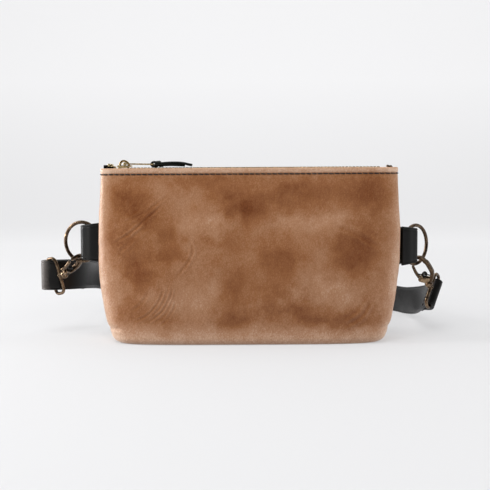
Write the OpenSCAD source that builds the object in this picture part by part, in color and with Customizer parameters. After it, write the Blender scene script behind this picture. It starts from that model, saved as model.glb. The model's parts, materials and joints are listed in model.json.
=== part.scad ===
// Leather waist pack with a zip, ring tabs, snap hooks and a detachable belt strap.
// Millimetres. +X right, +Y towards the wearer, +Z up. Origin: centre of the base.

/* [Pouch] */
// Half width of the pouch at its widest
pouch_half_w = 108; // [106:0.5:108]
// Height of the top edge
pouch_h = 123.2; // [122.8:0.1:123.4]
// Half depth at the base
base_half_d = 28; // [26:0.5:29]
// Half depth at the top edge
top_half_d = 7; // [6.9:0.05:7.1]
// Leather thickness of the pouch
skin_t = 1.8; // [1.4:0.1:2]
// How far the side seam is drawn in between the panels
seam_inset = 3; // [2.5:0.1:3.2]

/* [Zip] */
// Half length of the zip chain
chain_half = 97; // [90:1:98]
// Distance from tooth to tooth
tooth_pitch = 2.5; // [2:0.1:3]
// Length of the slider
slider_l = 10.5; // [9:0.5:11]
// Length of the metal pull
pull_l = 21; // [18:0.5:23]
// Length of the leather tail of the pull
tail_l = 26; // [20:1:28]

/* [Rings and tabs] */
// Inner diameter of the rings
ring_id = 25.6; // [25.4:0.1:25.8]
// Wire diameter of the rings
ring_wire = 2.6; // [2.4:0.1:2.7]
// Height of a tab at the pouch
tab_h_root = 28.2; // [27:0.2:28.6]
// Height of a tab at its fold
tab_h_fold = 24; // [23:0.2:24.2]
// Leather thickness of the tabs
tab_t = 2; // [1.6:0.1:2.2]

/* [Snap hooks] */
// Wire diameter of the belt eyes
eye_wire = 2.4; // [2.2:0.1:2.5]
// Inner radius of the hook's crown
crown_r = 3.8; // [3.6:0.05:4]
// Thickness of the hook's arms
arm_t = 2.2; // [2:0.1:2.4]

/* [Belt] */
// Width of the belt leather
belt_w = 22; // [21:0.5:22]
// Thickness of the belt leather
belt_t = 2.2; // [1.8:0.1:2.3]

/* [Hidden] */
$fn = 48;
gap = 0.3;
ring_r = ring_id / 2 + ring_wire / 2;

// Places of the hardware, side by side: left, then right
LEFT = 0;
RIGHT = 1;
// Where a tab leaves the side seam, and the height of its middle
tab_root = [[-107.2, 0, 70.4], [107.8, 0, 66.7]];
// Heading of each tab and of each ring, degrees from +X
tab_yaw = [156, 39.5];
ring_yaw = [156, 45];
// Length of each tab to its fold, and half of the gap inside it
tab_l = [15.6, 16.8];
tab_gap = [2.6, 2.7];
ring_c = [[-121.3, 6.6, 70.5], [120.9, 12, 66.7]];
// Angle of the hook's grip on the ring, from the ring's lowest point outwards
grip_a = [22, 18];
// Swivel balls and the middles of the belt eyes' bars
swivel_c = [[-136.6, 17.7, 45.3], [132.4, 19.4, 37]];
bar_c = [[-147.4, 26, 43], [137.9, 28.4, 28.9]];
// Wanted direction of each bar, made square to the stem below
bar_hint = [[-0.27, -0.04, 0.96], [0.323, 0.395, 0.86]];
// Turn of each hook about its own length
hook_roll = [-12, 20];

function unit(v) = v / norm(v);
function square_to(v, axis) = unit(v - (v * axis) * axis);
function lerp(a, b, t) = a + (b - a) * t;
function smooth(t) = t <= 0 ? 0 : t >= 1 ? 1 : t * t * (3 - 2 * t);

// A rigid frame: its origin, its z and its x (made square to z)
module frame_at(origin, z_dir, x_hint) {
    z = unit(z_dir);
    x = square_to(x_hint, z);
    y = cross(z, x);
    multmatrix([
        [x[0], y[0], z[0], origin[0]],
        [x[1], y[1], z[1], origin[1]],
        [x[2], y[2], z[2], origin[2]],
        [0, 0, 0, 1]
    ]) children();
}

// ---- Pouch -------------------------------------------------------------

// Half width of the plan section at height z: full at two thirds, drawn in at the boxed base
function half_w(z) =
    z < 70 ? pouch_half_w - 12.5 * pow(1 - z / 70, 2.6)
           : pouch_half_w - 2.4 * smooth((z - 70) / 45);

// Half depth of the plan section: a wedge with a slight belly
function half_d(z) =
    lerp(base_half_d, top_half_d, z / pouch_h) + 3.2 * sin(180 * z / pouch_h);

// Squareness of the plan section: boxed at the base, softer at the middle, tight along the rim
function squareness(z) = lerp(4.6, 4.2, smooth(z / 30)) + 2.8 * smooth((z - 60) / 55);

// Edge rounding where the walls turn into the base
function base_round(z, r) = z >= r ? 0 : r - sqrt(r * r - pow(r - z, 2));

// One point of the outline, angle a from 0 to 180, half_y +1 for the back and -1 for the front
function outline(a, z, inset, side) =
    let (
        n = 2 / squareness(z),
        rounding = base_round(z, 5) * 0.8,
        hw = half_w(z) - rounding - inset,
        hd = half_d(z) - rounding - inset,
        c = cos(a),
        s = sin(a),
        x = hw * sign(c) * pow(abs(c), n),
        y = hd * pow(abs(s), n),
        pull_in = seam_inset * exp(-pow(y / 4.5, 2)) * smooth(z / 12) * smooth((105 - z) / 30)
    )
    [x - sign(c) * pull_in, side * max(y, 0.05), z];

OUTLINE_STEPS = 44;
LEVEL_COUNT = 17;
// Angles crowd towards the side seams, where the outline turns fastest
function outline_angle(i) = let (t = i / OUTLINE_STEPS) 180 * t - 9 * sin(360 * t);
function level(j) = let (t = j / (LEVEL_COUNT - 1)) pouch_h * pow(t, 1.6);

// A half shell of the pouch: outer skin, inner skin, rim, seam faces and the base
module half_shell(side) {
    n = OUTLINE_STEPS + 1;
    m = LEVEL_COUNT;
    outer = [for (j = [0 : m - 1], i = [0 : n - 1]) outline(outline_angle(i), level(j), 0, side)];
    inner = [for (j = [0 : m - 1], i = [0 : n - 1])
        let (p = outline(outline_angle(i), level(j), skin_t, side))
        [p[0], p[1], j == m - 1 ? p[2] : max(p[2], skin_t + j * 0.1)]];
    k = n * m;
    grid = [for (j = [0 : m - 2], i = [0 : n - 2])
        let (a = j * n + i) [a, a + 1, a + n + 1, a + n]];
    outer_faces = [for (q = grid, t = [[0, 1, 2], [0, 2, 3]]) [q[t[0]], q[t[1]], q[t[2]]]];
    inner_faces = [for (f = outer_faces) [f[2] + k, f[1] + k, f[0] + k]];
    rim = [for (i = [0 : n - 2], t = [0, 1]) let (a = (m - 1) * n + i)
        t == 0 ? [a, a + 1, a + 1 + k] : [a, a + 1 + k, a + k]];
    seams = [for (j = [0 : m - 2], t = [0, 1]) let (a = j * n)
        t == 0 ? [a, a + n, a + n + k] : [a, a + n + k, a + k]];
    far_seams = [for (j = [0 : m - 2], t = [0, 1]) let (a = j * n + n - 1)
        t == 0 ? [a, a + n + k, a + n] : [a, a + k, a + n + k]];
    base = [[for (i = [n - 1 : -1 : 0]) i]];
    floor_inside = [[for (i = [0 : n - 1]) i + k]];
    base_edge = [[0, k, k + n - 1, n - 1]];
    faces = concat(outer_faces, inner_faces, rim, seams, far_seams, base, floor_inside, base_edge);
    polyhedron(points = concat(outer, inner),
        faces = side < 0 ? faces : [for (f = faces) [for (i = [len(f) - 1 : -1 : 0]) f[i]]]);
}

module front_panel() {
    color("#8a6044") half_shell(-1);
}

module back_panel() {
    color("#84593e") half_shell(1);
}

// ---- Stitching along the top edge --------------------------------------

stitch_z = pouch_h - 4.3;
stitch_l = 2.8;

// Depth of the outer wall at x, where the stitches lie
function wall_y(x, z) =
    half_d(z) * pow(1 - pow(abs(x) / half_w(z), squareness(z)), 1 / squareness(z));

module rim_stitches(side) {
    for (x = [-96 : 4 : 96]) {
        near = wall_y(abs(x) - stitch_l / 2, stitch_z - 0.35) + 0.06;
        far = wall_y(abs(x) + stitch_l / 2, stitch_z - 0.35) + 0.06;
        translate([x, side * (near + far) / 2, stitch_z])
            rotate([0, 0, -side * sign(x) * atan2(near - far, stitch_l)])
                translate([-stitch_l / 2, side > 0 ? 0 : -0.45, -0.35]) cube([stitch_l, 0.45, 0.7]);
    }
}

module stitching_front() {
    color("#1d1a18") rim_stitches(-1);
}

module stitching_back() {
    color("#1d1a18") rim_stitches(1);
}

// ---- Zip ---------------------------------------------------------------

tape_z = pouch_h - 0.7;
tape_t = 0.6;
tape_edge = 0.85;
tooth_z = pouch_h - 1.5;
tooth_h = 2.2;
tooth_w = 1.4;
tooth_d = 2.25;

// Half length of the tape's sewn flange, and of the flat strip that carries the teeth
flange_half = 84;
strip_half = chain_half + 3;

// A profile of the tape run along the zip
module tape_run(side, half, profile) {
    translate([-half, 0, 0]) rotate([90, 0, 90]) linear_extrude(2 * half)
        polygon([for (p = profile) [side * p[0], p[1]]]);
}

// Tape of one side: a flange inside the panel, and a flat strip on to both ends
module zip_tape(side) {
    low = tape_z - tape_t;
    tape_run(side, flange_half, [[tape_edge, tape_z], [4.6, tape_z], [4.95, pouch_h - 9],
        [4.45, pouch_h - 9], [4.15, low], [tape_edge, low]]);
    tape_run(side, strip_half, [[tape_edge, tape_z], [2.9, tape_z], [2.9, low], [tape_edge, low]]);
}

// One row of teeth: each is a block slotted over the edge of its tape
module zip_teeth(side) {
    shift = side > 0 ? tooth_pitch / 2 : 0;
    for (x = [-chain_half + 11 : tooth_pitch : chain_half - 4])
        translate([x + shift, 0, 0]) mirror([0, side > 0 ? 0 : 1, 0]) difference() {
            translate([-tooth_w / 2, 0.45, tooth_z]) cube([tooth_w, tooth_d, tooth_h]);
            translate([-tooth_w, tape_edge - 0.02, tape_z - tape_t - 0.02])
                cube([2 * tooth_w, tooth_d, tape_t + 0.04]);
        }
}

module zip_tape_front() {
    color("#191919") zip_tape(-1);
}

module zip_tape_back() {
    color("#191919") zip_tape(1);
}

module zip_teeth_front() {
    color("#b08a4a") zip_teeth(-1);
}

module zip_teeth_back() {
    color("#b08a4a") zip_teeth(1);
}

// Stops at the closed end, outboard of the slider
module zip_top_stops() {
    color("#b08a4a")
        for (side = [-1, 1])
            translate([-chain_half - 0.5, side > 0 ? 0.5 : -2.7, tape_z]) cube([2.4, 2.2, 1.2]);
}

// Stop at the far end: one bar across both tapes, leaning on the side seam
module zip_bottom_stop() {
    color("#8c6c3c")
        translate([chain_half + 3, 0, tape_z + 1.2]) rotate([0, 20, 0])
            translate([-2.2, -2.6, -0.9]) cube([4.4, 5.2, 1.6]);
}

slider_x = -chain_half + 3 + slider_l / 2;
slider_floor = tooth_z - 0.4;
slider_roof = tooth_z + tooth_h + 0.4;
plate_t = 1.1;
pivot_z = slider_roof + plate_t + 1;
crown_bar_z = pivot_z + 1.8;

module zip_slider() {
    color("#b9935a") translate([slider_x, 0, 0]) {
        translate([-slider_l / 2, -4.2, slider_roof]) cube([slider_l, 8.4, plate_t]);
        translate([-slider_l / 2, -3.8, slider_floor - plate_t]) cube([slider_l, 7.6, plate_t]);
        // Side walls above and below the slot that the tapes run through
        for (side = [-1, 1]) {
            translate([-slider_l / 2, side > 0 ? 3.4 : -4.2, slider_roof - 0.9]) cube([slider_l, 0.8, 1]);
            translate([-slider_l / 2, side > 0 ? 3 : -3.8, slider_floor - 0.1]) cube([slider_l, 0.8, 0.4]);
        }
        // Web that joins the two plates between the rows of teeth
        translate([-slider_l / 2, -0.2, slider_floor - 0.1]) cube([2.4, 0.4, slider_roof - slider_floor + 0.2]);
        // Crown: two legs and the bar above the pull's pin
        for (x = [-4.2, 2.8])
            translate([x, -1, slider_roof + plate_t - 0.1]) cube([1.4, 2, crown_bar_z - slider_roof - plate_t + 0.2]);
        translate([-4.2, -1, crown_bar_z]) cube([8.4, 2, 1.1]);
    }
}

pull_drop = 1;

// Metal pull: a pin under the crown, two cheeks beside it, and a slotted plate
module pull_plate() {
    color("#8f7448") translate([slider_x, 0, pivot_z]) rotate([0, pull_drop, 0]) {
        rotate([90, 0, 0]) cylinder(r = 0.6, h = 4.6, center = true);
        for (side = [-1, 1])
            translate([-0.6, side > 0 ? 1.3 : -2.3, -0.45]) cube([7.1, 1, 0.9]);
        difference() {
            translate([5.6, -2.3, -0.45]) cube([pull_l - 5.6, 4.6, 0.9]);
            translate([pull_l - 5.4, -1.5, -1]) cube([4.2, 3, 2]);
        }
    }
}

tie_x = slider_x + (pull_l - 0.6) * cos(pull_drop);
tie_z = pivot_z - (pull_l - 0.6) * sin(pull_drop);
tie_r = 1.05;
tie_t = 0.7;

// Leather tail: a loop round the plate's end bar, a knot, and two long layers
module pull_tab() {
    color("#1e211c") translate([tie_x, 0, tie_z]) {
        rotate([90, 0, 0]) difference() {
            cylinder(r = tie_r + tie_t, h = 2.4, center = true);
            cylinder(r = tie_r, h = 3, center = true);
        }
        translate([1.6, -2.4, -0.5]) cube([5.4, 4.8, 2.2]);
        rotate([90, 0, 0]) linear_extrude(6, center = true)
            polygon(concat(
                [for (i = [0 : 10]) [6.5 + tail_l * i / 13, 1.4 - 0.14 * i + 1.2 * sin(18 * i)]],
                [for (i = [10 : -1 : 0]) [6.5 + tail_l * i / 13, 0.4 - 0.08 * i + 0.5 * sin(18 * i)]]));
    }
}

// ---- Side tabs and rings -------------------------------------------------

// Plan of a tab: two legs that part from the seam and a round fold
module tab_plan(side) {
    outer_r = tab_gap[side] + tab_t;
    straight = tab_l[side] - outer_r;
    difference() {
        union() {
            polygon([[1.6, -3], [5.5, -outer_r], [straight, -outer_r],
                [straight, outer_r], [5.5, outer_r], [1.6, 3]]);
            translate([straight, 0]) circle(r = outer_r);
        }
        polygon([[0, -1.9], [5.5, -tab_gap[side]], [straight, -tab_gap[side]],
            [straight, tab_gap[side]], [5.5, tab_gap[side]], [0, 1.9]]);
        translate([straight, 0]) circle(r = tab_gap[side]);
    }
}

// The plan stood up and cut to a taper from the seam to the fold
module tab(side) {
    color("#20201f") translate(tab_root[side]) rotate([0, 0, tab_yaw[side]])
        intersection() {
            translate([0, 0, -20]) linear_extrude(40) tab_plan(side);
            rotate([90, 0, 0]) linear_extrude(20, center = true)
                polygon([[0, -tab_h_root / 2], [tab_l[side] + 1, -tab_h_fold / 2],
                    [tab_l[side] + 1, tab_h_fold / 2], [0, tab_h_root / 2]]);
        }
}

module ring(side) {
    color("#6d5a41") translate(ring_c[side]) rotate([0, 0, ring_yaw[side]]) rotate([90, 0, 0])
        rotate_extrude() translate([ring_r, 0]) circle(r = ring_wire / 2);
}

module tab_left() {
    tab(LEFT);
}

module tab_right() {
    tab(RIGHT);
}

module ring_left() {
    ring(LEFT);
}

module ring_right() {
    ring(RIGHT);
}

// ---- Snap hooks ----------------------------------------------------------

// The gripped point of the ring's wire and the wire's direction there
function ring_dir(side) = [cos(ring_yaw[side]), sin(ring_yaw[side]), 0];
function grip(side) = ring_c[side] + ring_r * (sin(grip_a[side]) * ring_dir(side) - cos(grip_a[side]) * [0, 0, 1]);
function grip_dir(side) = cos(grip_a[side]) * ring_dir(side) + sin(grip_a[side]) * [0, 0, 1];
function stem_dir(side) = unit(swivel_c[side] - bar_c[side]);
function bar_dir(side) = square_to(bar_hint[side], stem_dir(side));
function hook_dir(side) = unit(grip(side) - swivel_c[side]);
// Across the hook: square to its length, rolled from the wire's own direction
function hook_across(side) =
    let (
        z = hook_dir(side),
        y = square_to(grip_dir(side), z),
        x = cross(y, z)
    )
    cos(hook_roll[side]) * x + sin(hook_roll[side]) * y;

function stem_l(side) = norm(swivel_c[side] - bar_c[side]);
eye_half = belt_w / 2 + 1.3 + eye_wire / 2;
eye_h = [8.9, 8.2];
eye_bend = 3.2;
ball_r = 1.9;
stem_r = 1.1;

module wire_arc(r, angle) {
    rotate_extrude(angle = angle) translate([r, 0]) circle(r = eye_wire / 2);
}

// Belt eye: bar, two legs, bends, head bar, and the swivel stem with its ball
module eye(side) {
    color("#7b6445") frame_at(bar_c[side], stem_dir(side), bar_dir(side)) {
        rotate([0, 90, 0]) cylinder(r = eye_wire / 2, h = 2 * eye_half, center = true);
        for (s = [-1, 1]) {
            translate([s * eye_half, 0, 0]) sphere(r = eye_wire / 2);
            translate([s * eye_half, 0, 0]) cylinder(r = eye_wire / 2, h = eye_h[side] - eye_bend);
        }
        translate([eye_half - eye_bend, 0, eye_h[side] - eye_bend]) rotate([90, 0, 0]) mirror([0, 0, 1])
            wire_arc(eye_bend, 90);
        mirror([1, 0, 0]) translate([eye_half - eye_bend, 0, eye_h[side] - eye_bend]) rotate([90, 0, 0])
            mirror([0, 0, 1]) wire_arc(eye_bend, 90);
        translate([0, 0, eye_h[side]]) rotate([0, 90, 0])
            cylinder(r = eye_wire / 2, h = 2 * (eye_half - eye_bend), center = true);
        translate([0, 0, eye_h[side]]) cylinder(r = stem_r, h = stem_l(side) - eye_h[side]);
        translate([0, 0, stem_l(side)]) sphere(r = ball_r);
    }
}

module eye_left() {
    eye(LEFT);
}

module eye_right() {
    eye(RIGHT);
}

// Hook frame: swivel ball at the origin, z along the hook, x across it
module in_hook(side) {
    frame_at(swivel_c[side], hook_dir(side), hook_across(side)) children();
}

function hook_l(side) = norm(grip(side) - swivel_c[side]);
function crown_z(side) = hook_l(side) - 0.8;
pin_x = -3.5;
pin_z = 5.6;
crown_mid = crown_r + arm_t / 2;
knuckle_r = arm_t / 2 + 0.2;

// Bar of the hook between two points of its plane
module hook_bar(a, b, t, w) {
    d = b - a;
    translate([a[0], 0, a[1]]) rotate([0, atan2(d[0], d[1]), 0])
        translate([-t / 2, -w / 2, 0]) cube([t, w, norm(d)]);
}

// Hook body: swivel barrel, fork, curved spine and crown
module hook(side) {
    cz = crown_z(side);
    color("#6d5a41") difference() {
        in_hook(side) difference() {
            union() {
                sphere(r = 3.4);
                translate([0, 0, 2]) cylinder(r1 = 3.2, r2 = 2, h = 2.6);
                hook_bar([0.6, 3.6], [4.4, 8.2], arm_t, 2.8);
                hook_bar([4.1, 7.6], [crown_mid, cz], arm_t, 2.6);
                translate([crown_mid, 0, cz]) rotate([90, 0, 0]) cylinder(r = knuckle_r, h = 2.6, center = true);
                // Ears of the gate's pivot
                for (s = [-1, 1])
                    translate([pin_x - 1.4, s > 0 ? 1.25 : -2.05, 3.4]) cube([5.4, 0.8, 3.8]);
                // Crown over the ring's wire
                translate([0, 0, cz]) rotate([90, 0, 0])
                    difference() {
                        cylinder(r = crown_r + arm_t, h = 2.4, center = true);
                        cylinder(r = crown_r, h = 3, center = true);
                        translate([-10, -20, -2]) cube([20, 20, 4]);
                    }
            }
            sphere(r = ball_r + 0.25);
            translate([pin_x, 0, pin_z]) rotate([90, 0, 0]) cylinder(r = 0.8, h = 6, center = true);
        }
        // Passage of the stem
        frame_at(bar_c[side], stem_dir(side), bar_dir(side))
            translate([0, 0, eye_h[side] + 1.4])
                cylinder(r = stem_r + 0.3, h = stem_l(side) - eye_h[side] - 1.4);
    }
}

module hook_left() {
    hook(LEFT);
}

module hook_right() {
    hook(RIGHT);
}

// Gate: a tapered bar from the pivot to the crown's nose
module gate(side) {
    cz = crown_z(side);
    color("#8a7049") in_hook(side) difference() {
        union() {
            translate([pin_x, 0, pin_z]) rotate([90, 0, 0]) cylinder(r = 1.5, h = 1.9, center = true);
            hook_bar([pin_x, pin_z], [-crown_mid, cz - 0.65], 1.7, 2.1);
        }
        translate([pin_x, 0, pin_z]) rotate([90, 0, 0]) cylinder(r = 0.9, h = 4, center = true);
    }
}

module gate_pin(side) {
    color("#a58a5c") in_hook(side) translate([pin_x, 0, pin_z]) rotate([90, 0, 0])
        for (s = [-1, 1]) {
            cylinder(r = 0.6, h = 4.1, center = true);
            translate([0, 0, s > 0 ? 2.08 : -2.58]) cylinder(r = 1.2, h = 0.5);
        }
}

// Spring: two coils beside the gate's foot and a leg that bears on the gate
module gate_spring(side) {
    color("#26231f") in_hook(side) translate([-0.2, 0, 7.4]) rotate([90, 0, 0]) {
        for (z = [-0.7, 0, 0.7])
            translate([0, 0, z]) rotate_extrude() translate([1.1, 0]) circle(r = 0.32, $fn = 24);
        translate([-0.3, -1.2, -0.3]) rotate([0, 0, 90]) cube([4.2, 0.5, 0.6]);
    }
}

module gate_left() {
    gate(LEFT);
}

module gate_right() {
    gate(RIGHT);
}

module gate_pin_left() {
    gate_pin(LEFT);
}

module gate_pin_right() {
    gate_pin(RIGHT);
}

module gate_spring_left() {
    gate_spring(LEFT);
}

module gate_spring_right() {
    gate_spring(RIGHT);
}

// ---- Belt ----------------------------------------------------------------

// Route of each belt half on its middle line, from the flap's end to the free end
left_route = [[-127.9, 52.6, 41.4], [-129.9, 42.4, 42.9], [-135.6, 35.4, 43.5], [-143, 31.2, 43.7],
    [-149.8, 29.9, 43.7], [-153, 28.8, 43.7], [-154.1, 26.2, 43.7], [-153, 23.5, 43.7],
    [-149.8, 22.4, 43.7], [-142, 23.6, 43.7], [-133.6, 29.6, 43.5], [-127.2, 40, 42.9],
    [-124.7, 56, 41], [-124.6, 78, 38.3], [-125, 100, 35.2], [-124, 126, 31],
    [-118, 156, 25.4], [-106, 184, 19.8], [-91, 203, 16.6], [-75, 210, 15.5],
    [-55, 210, 15.5], [-15, 210, 15.5], [24, 210, 15.5]];
right_route_tail = [[134.6, 44, 24.2], [134.4, 62, 20], [133, 84, 16], [129.8, 108, 12.8],
    [124.8, 132, 11.3], [109, 163, 11.5], [85, 190, 13.2], [62, 206, 15], [44, 212.4, 15.5],
    [26, 213.2, 15.5], [-20, 213.2, 15.5], [-70, 213.2, 15.5]];

// Frame of the right bar: where the belt leaves it, and the side it leaves from
right_b = bar_dir(RIGHT);
right_g = square_to([-0.04, 0.92, -0.4], right_b);
right_q = cross(right_b, right_g);
wrap_r = eye_wire / 2 + gap + belt_t / 2;
// The flap lies against the outer face of the run
flap_shift = 1.15 * belt_t;
right_route_head = [for (p = [[134.4, 58, 20.9], [134.6, 46, 23.7]]) p - flap_shift * right_q];
right_bend = [for (a = [90, 120, 150, 180, 210, 240, 270])
    bar_c[RIGHT] + wrap_r * (cos(a) * right_g - sin(a) * right_q)];
right_route = concat(right_route_head, [bar_c[RIGHT] - wrap_r * right_q + 5 * right_g], right_bend,
    [bar_c[RIGHT] + wrap_r * right_q + 5 * right_g], right_route_tail);

// Catmull-Rom point between p1 and p2
function spline_at(p0, p1, p2, p3, t) =
    0.5 * (2 * p1 + (p2 - p0) * t + (2 * p0 - 5 * p1 + 4 * p2 - p3) * t * t
        + (3 * p1 - p0 - 3 * p2 + p3) * t * t * t);

function spline(pts, steps) = let (n = len(pts)) concat(
    [for (i = [0 : n - 2], k = [0 : steps - 1])
        spline_at(pts[max(i - 1, 0)], pts[i], pts[i + 1], pts[min(i + 2, n - 1)], k / steps)],
    [pts[n - 1]]);

// A flat band swept along a line: across gives its width direction at each point
module band(line, across, width, thick) {
    n = len(line);
    pts = [for (i = [0 : n - 1])
        let (
            t = unit(line[min(i + 1, n - 1)] - line[max(i - 1, 0)]),
            w = square_to(across[i], t),
            q = cross(t, w)
        )
        for (c = [[-1, -1], [1, -1], [1, 1], [-1, 1]])
            line[i] + c[0] * w * width / 2 + c[1] * q * thick / 2];
    sides = [for (i = [0 : n - 2], c = [0 : 3], k = [0, 1])
        let (a = 4 * i + c, b = 4 * i + (c + 1) % 4)
        k == 0 ? [a, b + 4, b] : [a, a + 4, b + 4]];
    polyhedron(points = pts, faces = concat([[0, 1, 2, 3]], sides,
        [[4 * n - 1, 4 * n - 2, 4 * n - 3, 4 * n - 4]]));
}

left_line = spline(left_route, 3);
right_line = spline(right_route, 3);
// The right half leaves its bar along the bar's lean and stands upright by this distance behind it
upright_y = 105;
right_across = [for (p = right_line) lerp(right_b, [0, 0, 1], smooth((p[1] - 34) / (upright_y - 34)))];

stud_x = -30;
hole_pitch = 12;

module strap_holes() {
    for (i = [0 : 3])
        translate([stud_x + hole_pitch * (i + 1), 200, 15.5]) rotate([-90, 0, 0]) cylinder(r = 1.8, h = 30);
}

module strap_left() {
    color("#2a2826") band(left_line, [for (p = left_line) [0, 0, 1]], belt_w, belt_t);
}

module strap_right() {
    color("#2a2826") difference() {
        band(right_line, right_across, belt_w, belt_t);
        intersection() {
            strap_holes();
            translate([-60, 211.5, 0]) cube([100, 6, 40]);
        }
    }
}

// Two short rows of stitches on the outer face of the belt where the flap is sewn down
module flap_stitches(origin, z_dir, x_dir, thick) {
    frame_at(origin, z_dir, x_dir)
        for (u = [-7.5 : 3 : 7.5])
            translate([u - 1, -0.3, thick]) cube([2, 0.6, 0.4]);
}

module strap_stitching_left() {
    color("#151413") flap_stitches([-126.1, 47.3, 42], [0.93, -0.37, 0], [0, 0, 1], belt_t / 2 + 0.1);
}

module strap_stitching_right() {
    color("#151413") flap_stitches(bar_c[RIGHT] + wrap_r * right_q + 9 * right_g, right_q, right_b, belt_t / 2 + 0.25);
}

// Button stud that joins the two belt halves
module strap_stud() {
    color("#a58a5c") translate([stud_x, 0, 15.5]) rotate([-90, 0, 0]) {
        translate([0, 0, 207.6]) cylinder(r = 4, h = 1.2);
        translate([0, 0, 208.5]) cylinder(r = 1.5, h = 8);
        translate([0, 0, 217.6]) sphere(r = 3);
    }
}

keeper_x = -52;
keeper_w = 9;

// Leather keeper round both layers
module keeper_loop() {
    color("#242220") translate([keeper_x, 211.6, 15.5]) difference() {
        cube([keeper_w, 9.4, belt_w + 4.4], center = true);
        cube([keeper_w + 2, 6.2, belt_w + 1], center = true);
    }
}

front_panel();
back_panel();
zip_tape_front();
zip_tape_back();
zip_teeth_front();
zip_teeth_back();
zip_top_stops();
zip_bottom_stop();
stitching_front();
stitching_back();
zip_slider();
pull_plate();
pull_tab();
tab_left();
tab_right();
ring_left();
ring_right();
eye_left();
eye_right();
hook_left();
hook_right();
gate_left();
gate_right();
gate_pin_left();
gate_pin_right();
gate_spring_left();
gate_spring_right();
strap_left();
strap_right();
strap_stitching_left();
strap_stitching_right();
strap_stud();
keeper_loop();
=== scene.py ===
"""Looks of the leather waist pack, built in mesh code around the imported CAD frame.

Sizes are in millimetres and become metres when a piece is made.
"""

import json
import math

import bmesh
import bpy
import numpy as np
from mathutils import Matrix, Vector


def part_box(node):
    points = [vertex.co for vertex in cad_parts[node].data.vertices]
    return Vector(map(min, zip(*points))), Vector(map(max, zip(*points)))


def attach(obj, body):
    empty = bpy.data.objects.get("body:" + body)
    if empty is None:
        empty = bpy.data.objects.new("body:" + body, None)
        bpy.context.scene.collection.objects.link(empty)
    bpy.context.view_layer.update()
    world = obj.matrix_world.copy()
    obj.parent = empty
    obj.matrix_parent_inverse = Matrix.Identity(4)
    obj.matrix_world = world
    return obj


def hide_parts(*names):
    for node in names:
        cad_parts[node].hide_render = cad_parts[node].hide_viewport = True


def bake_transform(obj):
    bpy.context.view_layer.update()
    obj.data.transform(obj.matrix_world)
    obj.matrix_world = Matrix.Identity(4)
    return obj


MM = 0.001
SIDES = ("left", "right")

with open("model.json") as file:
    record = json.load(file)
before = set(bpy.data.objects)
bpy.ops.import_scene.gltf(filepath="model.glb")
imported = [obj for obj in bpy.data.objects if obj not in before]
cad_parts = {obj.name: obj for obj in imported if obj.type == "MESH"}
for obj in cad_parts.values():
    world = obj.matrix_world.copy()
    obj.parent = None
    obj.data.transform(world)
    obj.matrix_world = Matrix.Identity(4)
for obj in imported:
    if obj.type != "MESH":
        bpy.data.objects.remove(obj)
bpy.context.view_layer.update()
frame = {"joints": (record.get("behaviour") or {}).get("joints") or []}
scene = bpy.context.scene
JOINTS = {joint["name"]: joint for joint in frame["joints"]}


# ---- Camera, light and floor ----------------------------------------------

CAMERA_AT = (-3.0, -720.0, 124.6)
CAMERA_PITCH = 85.5
CAMERA_ROLL = 0.3
LENS = 73.9


def srgb(red, green, blue):
    """A colour of 0 to 255 steps as the linear colour that the shaders use."""
    return tuple((c / 255) ** 2.2 for c in (red, green, blue)) + (1.0,)


def make_camera():
    data = bpy.data.cameras.new("camera")
    data.lens = LENS
    data.clip_start = 0.01
    data.clip_end = 20
    camera = bpy.data.objects.new("camera", data)
    camera.location = [c * MM for c in CAMERA_AT]
    camera.rotation_euler = (math.radians(CAMERA_PITCH), math.radians(CAMERA_ROLL), 0)
    scene.collection.objects.link(camera)
    scene.camera = camera


def softbox(name, at, aim, width, height, power, diffuse=True, glossy=True):
    """A rectangular area light at a point in metres, aimed at another."""
    data = bpy.data.lights.new(name, "AREA")
    data.shape = "RECTANGLE"
    data.size = width
    data.size_y = height
    data.energy = power
    light = bpy.data.objects.new(name, data)
    light.location = at
    direction = np.subtract(aim, at)
    light.rotation_euler = Vector(direction).to_track_quat("-Z", "Y").to_euler()
    light.visible_diffuse = diffuse
    light.visible_glossy = glossy
    scene.collection.objects.link(light)


def make_lights():
    """A white studio that is darker behind the camera, a soft key, side strips and a fill."""
    world = bpy.data.worlds.new("studio")
    scene.world = world
    world.use_nodes = True
    tree = world.node_tree
    background = tree.nodes["Background"]
    around = node(tree, "SeparateXYZ", {0: node(tree, "TexCoord").outputs["Generated"]})
    dim = spread(tree, around.outputs["Y"], -0.75, 0.1)
    shade = ramp(tree, dim, [(0.0, srgb(78, 78, 80)), (1.0, srgb(246, 246, 247))])
    tree.links.new(shade, background.inputs["Color"])
    background.inputs["Strength"].default_value = 0.5
    target = (0, 0, 0.06)
    softbox("key_top", (-0.25, -0.60, 1.25), target, 0.9, 0.8, 12.5, glossy=False)
    softbox("left_strip", (-1.0, -0.06, 0.30), target, 0.40, 0.9, 15, glossy=False)
    softbox("left_shine", (-1.0, 0.12, 0.30), target, 0.3, 0.9, 14, diffuse=False)
    softbox("right_strip", (0.95, -0.05, 0.32), target, 0.30, 0.8, 5, glossy=False)
    softbox("front_fill", (0.35, -1.5, 0.85), target, 0.7, 0.5, 5, glossy=False)
    softbox("backdrop_light", (0, 0.7, 1.5), (0, 1.6, 0.3), 2.4, 0.8, 9)


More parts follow.
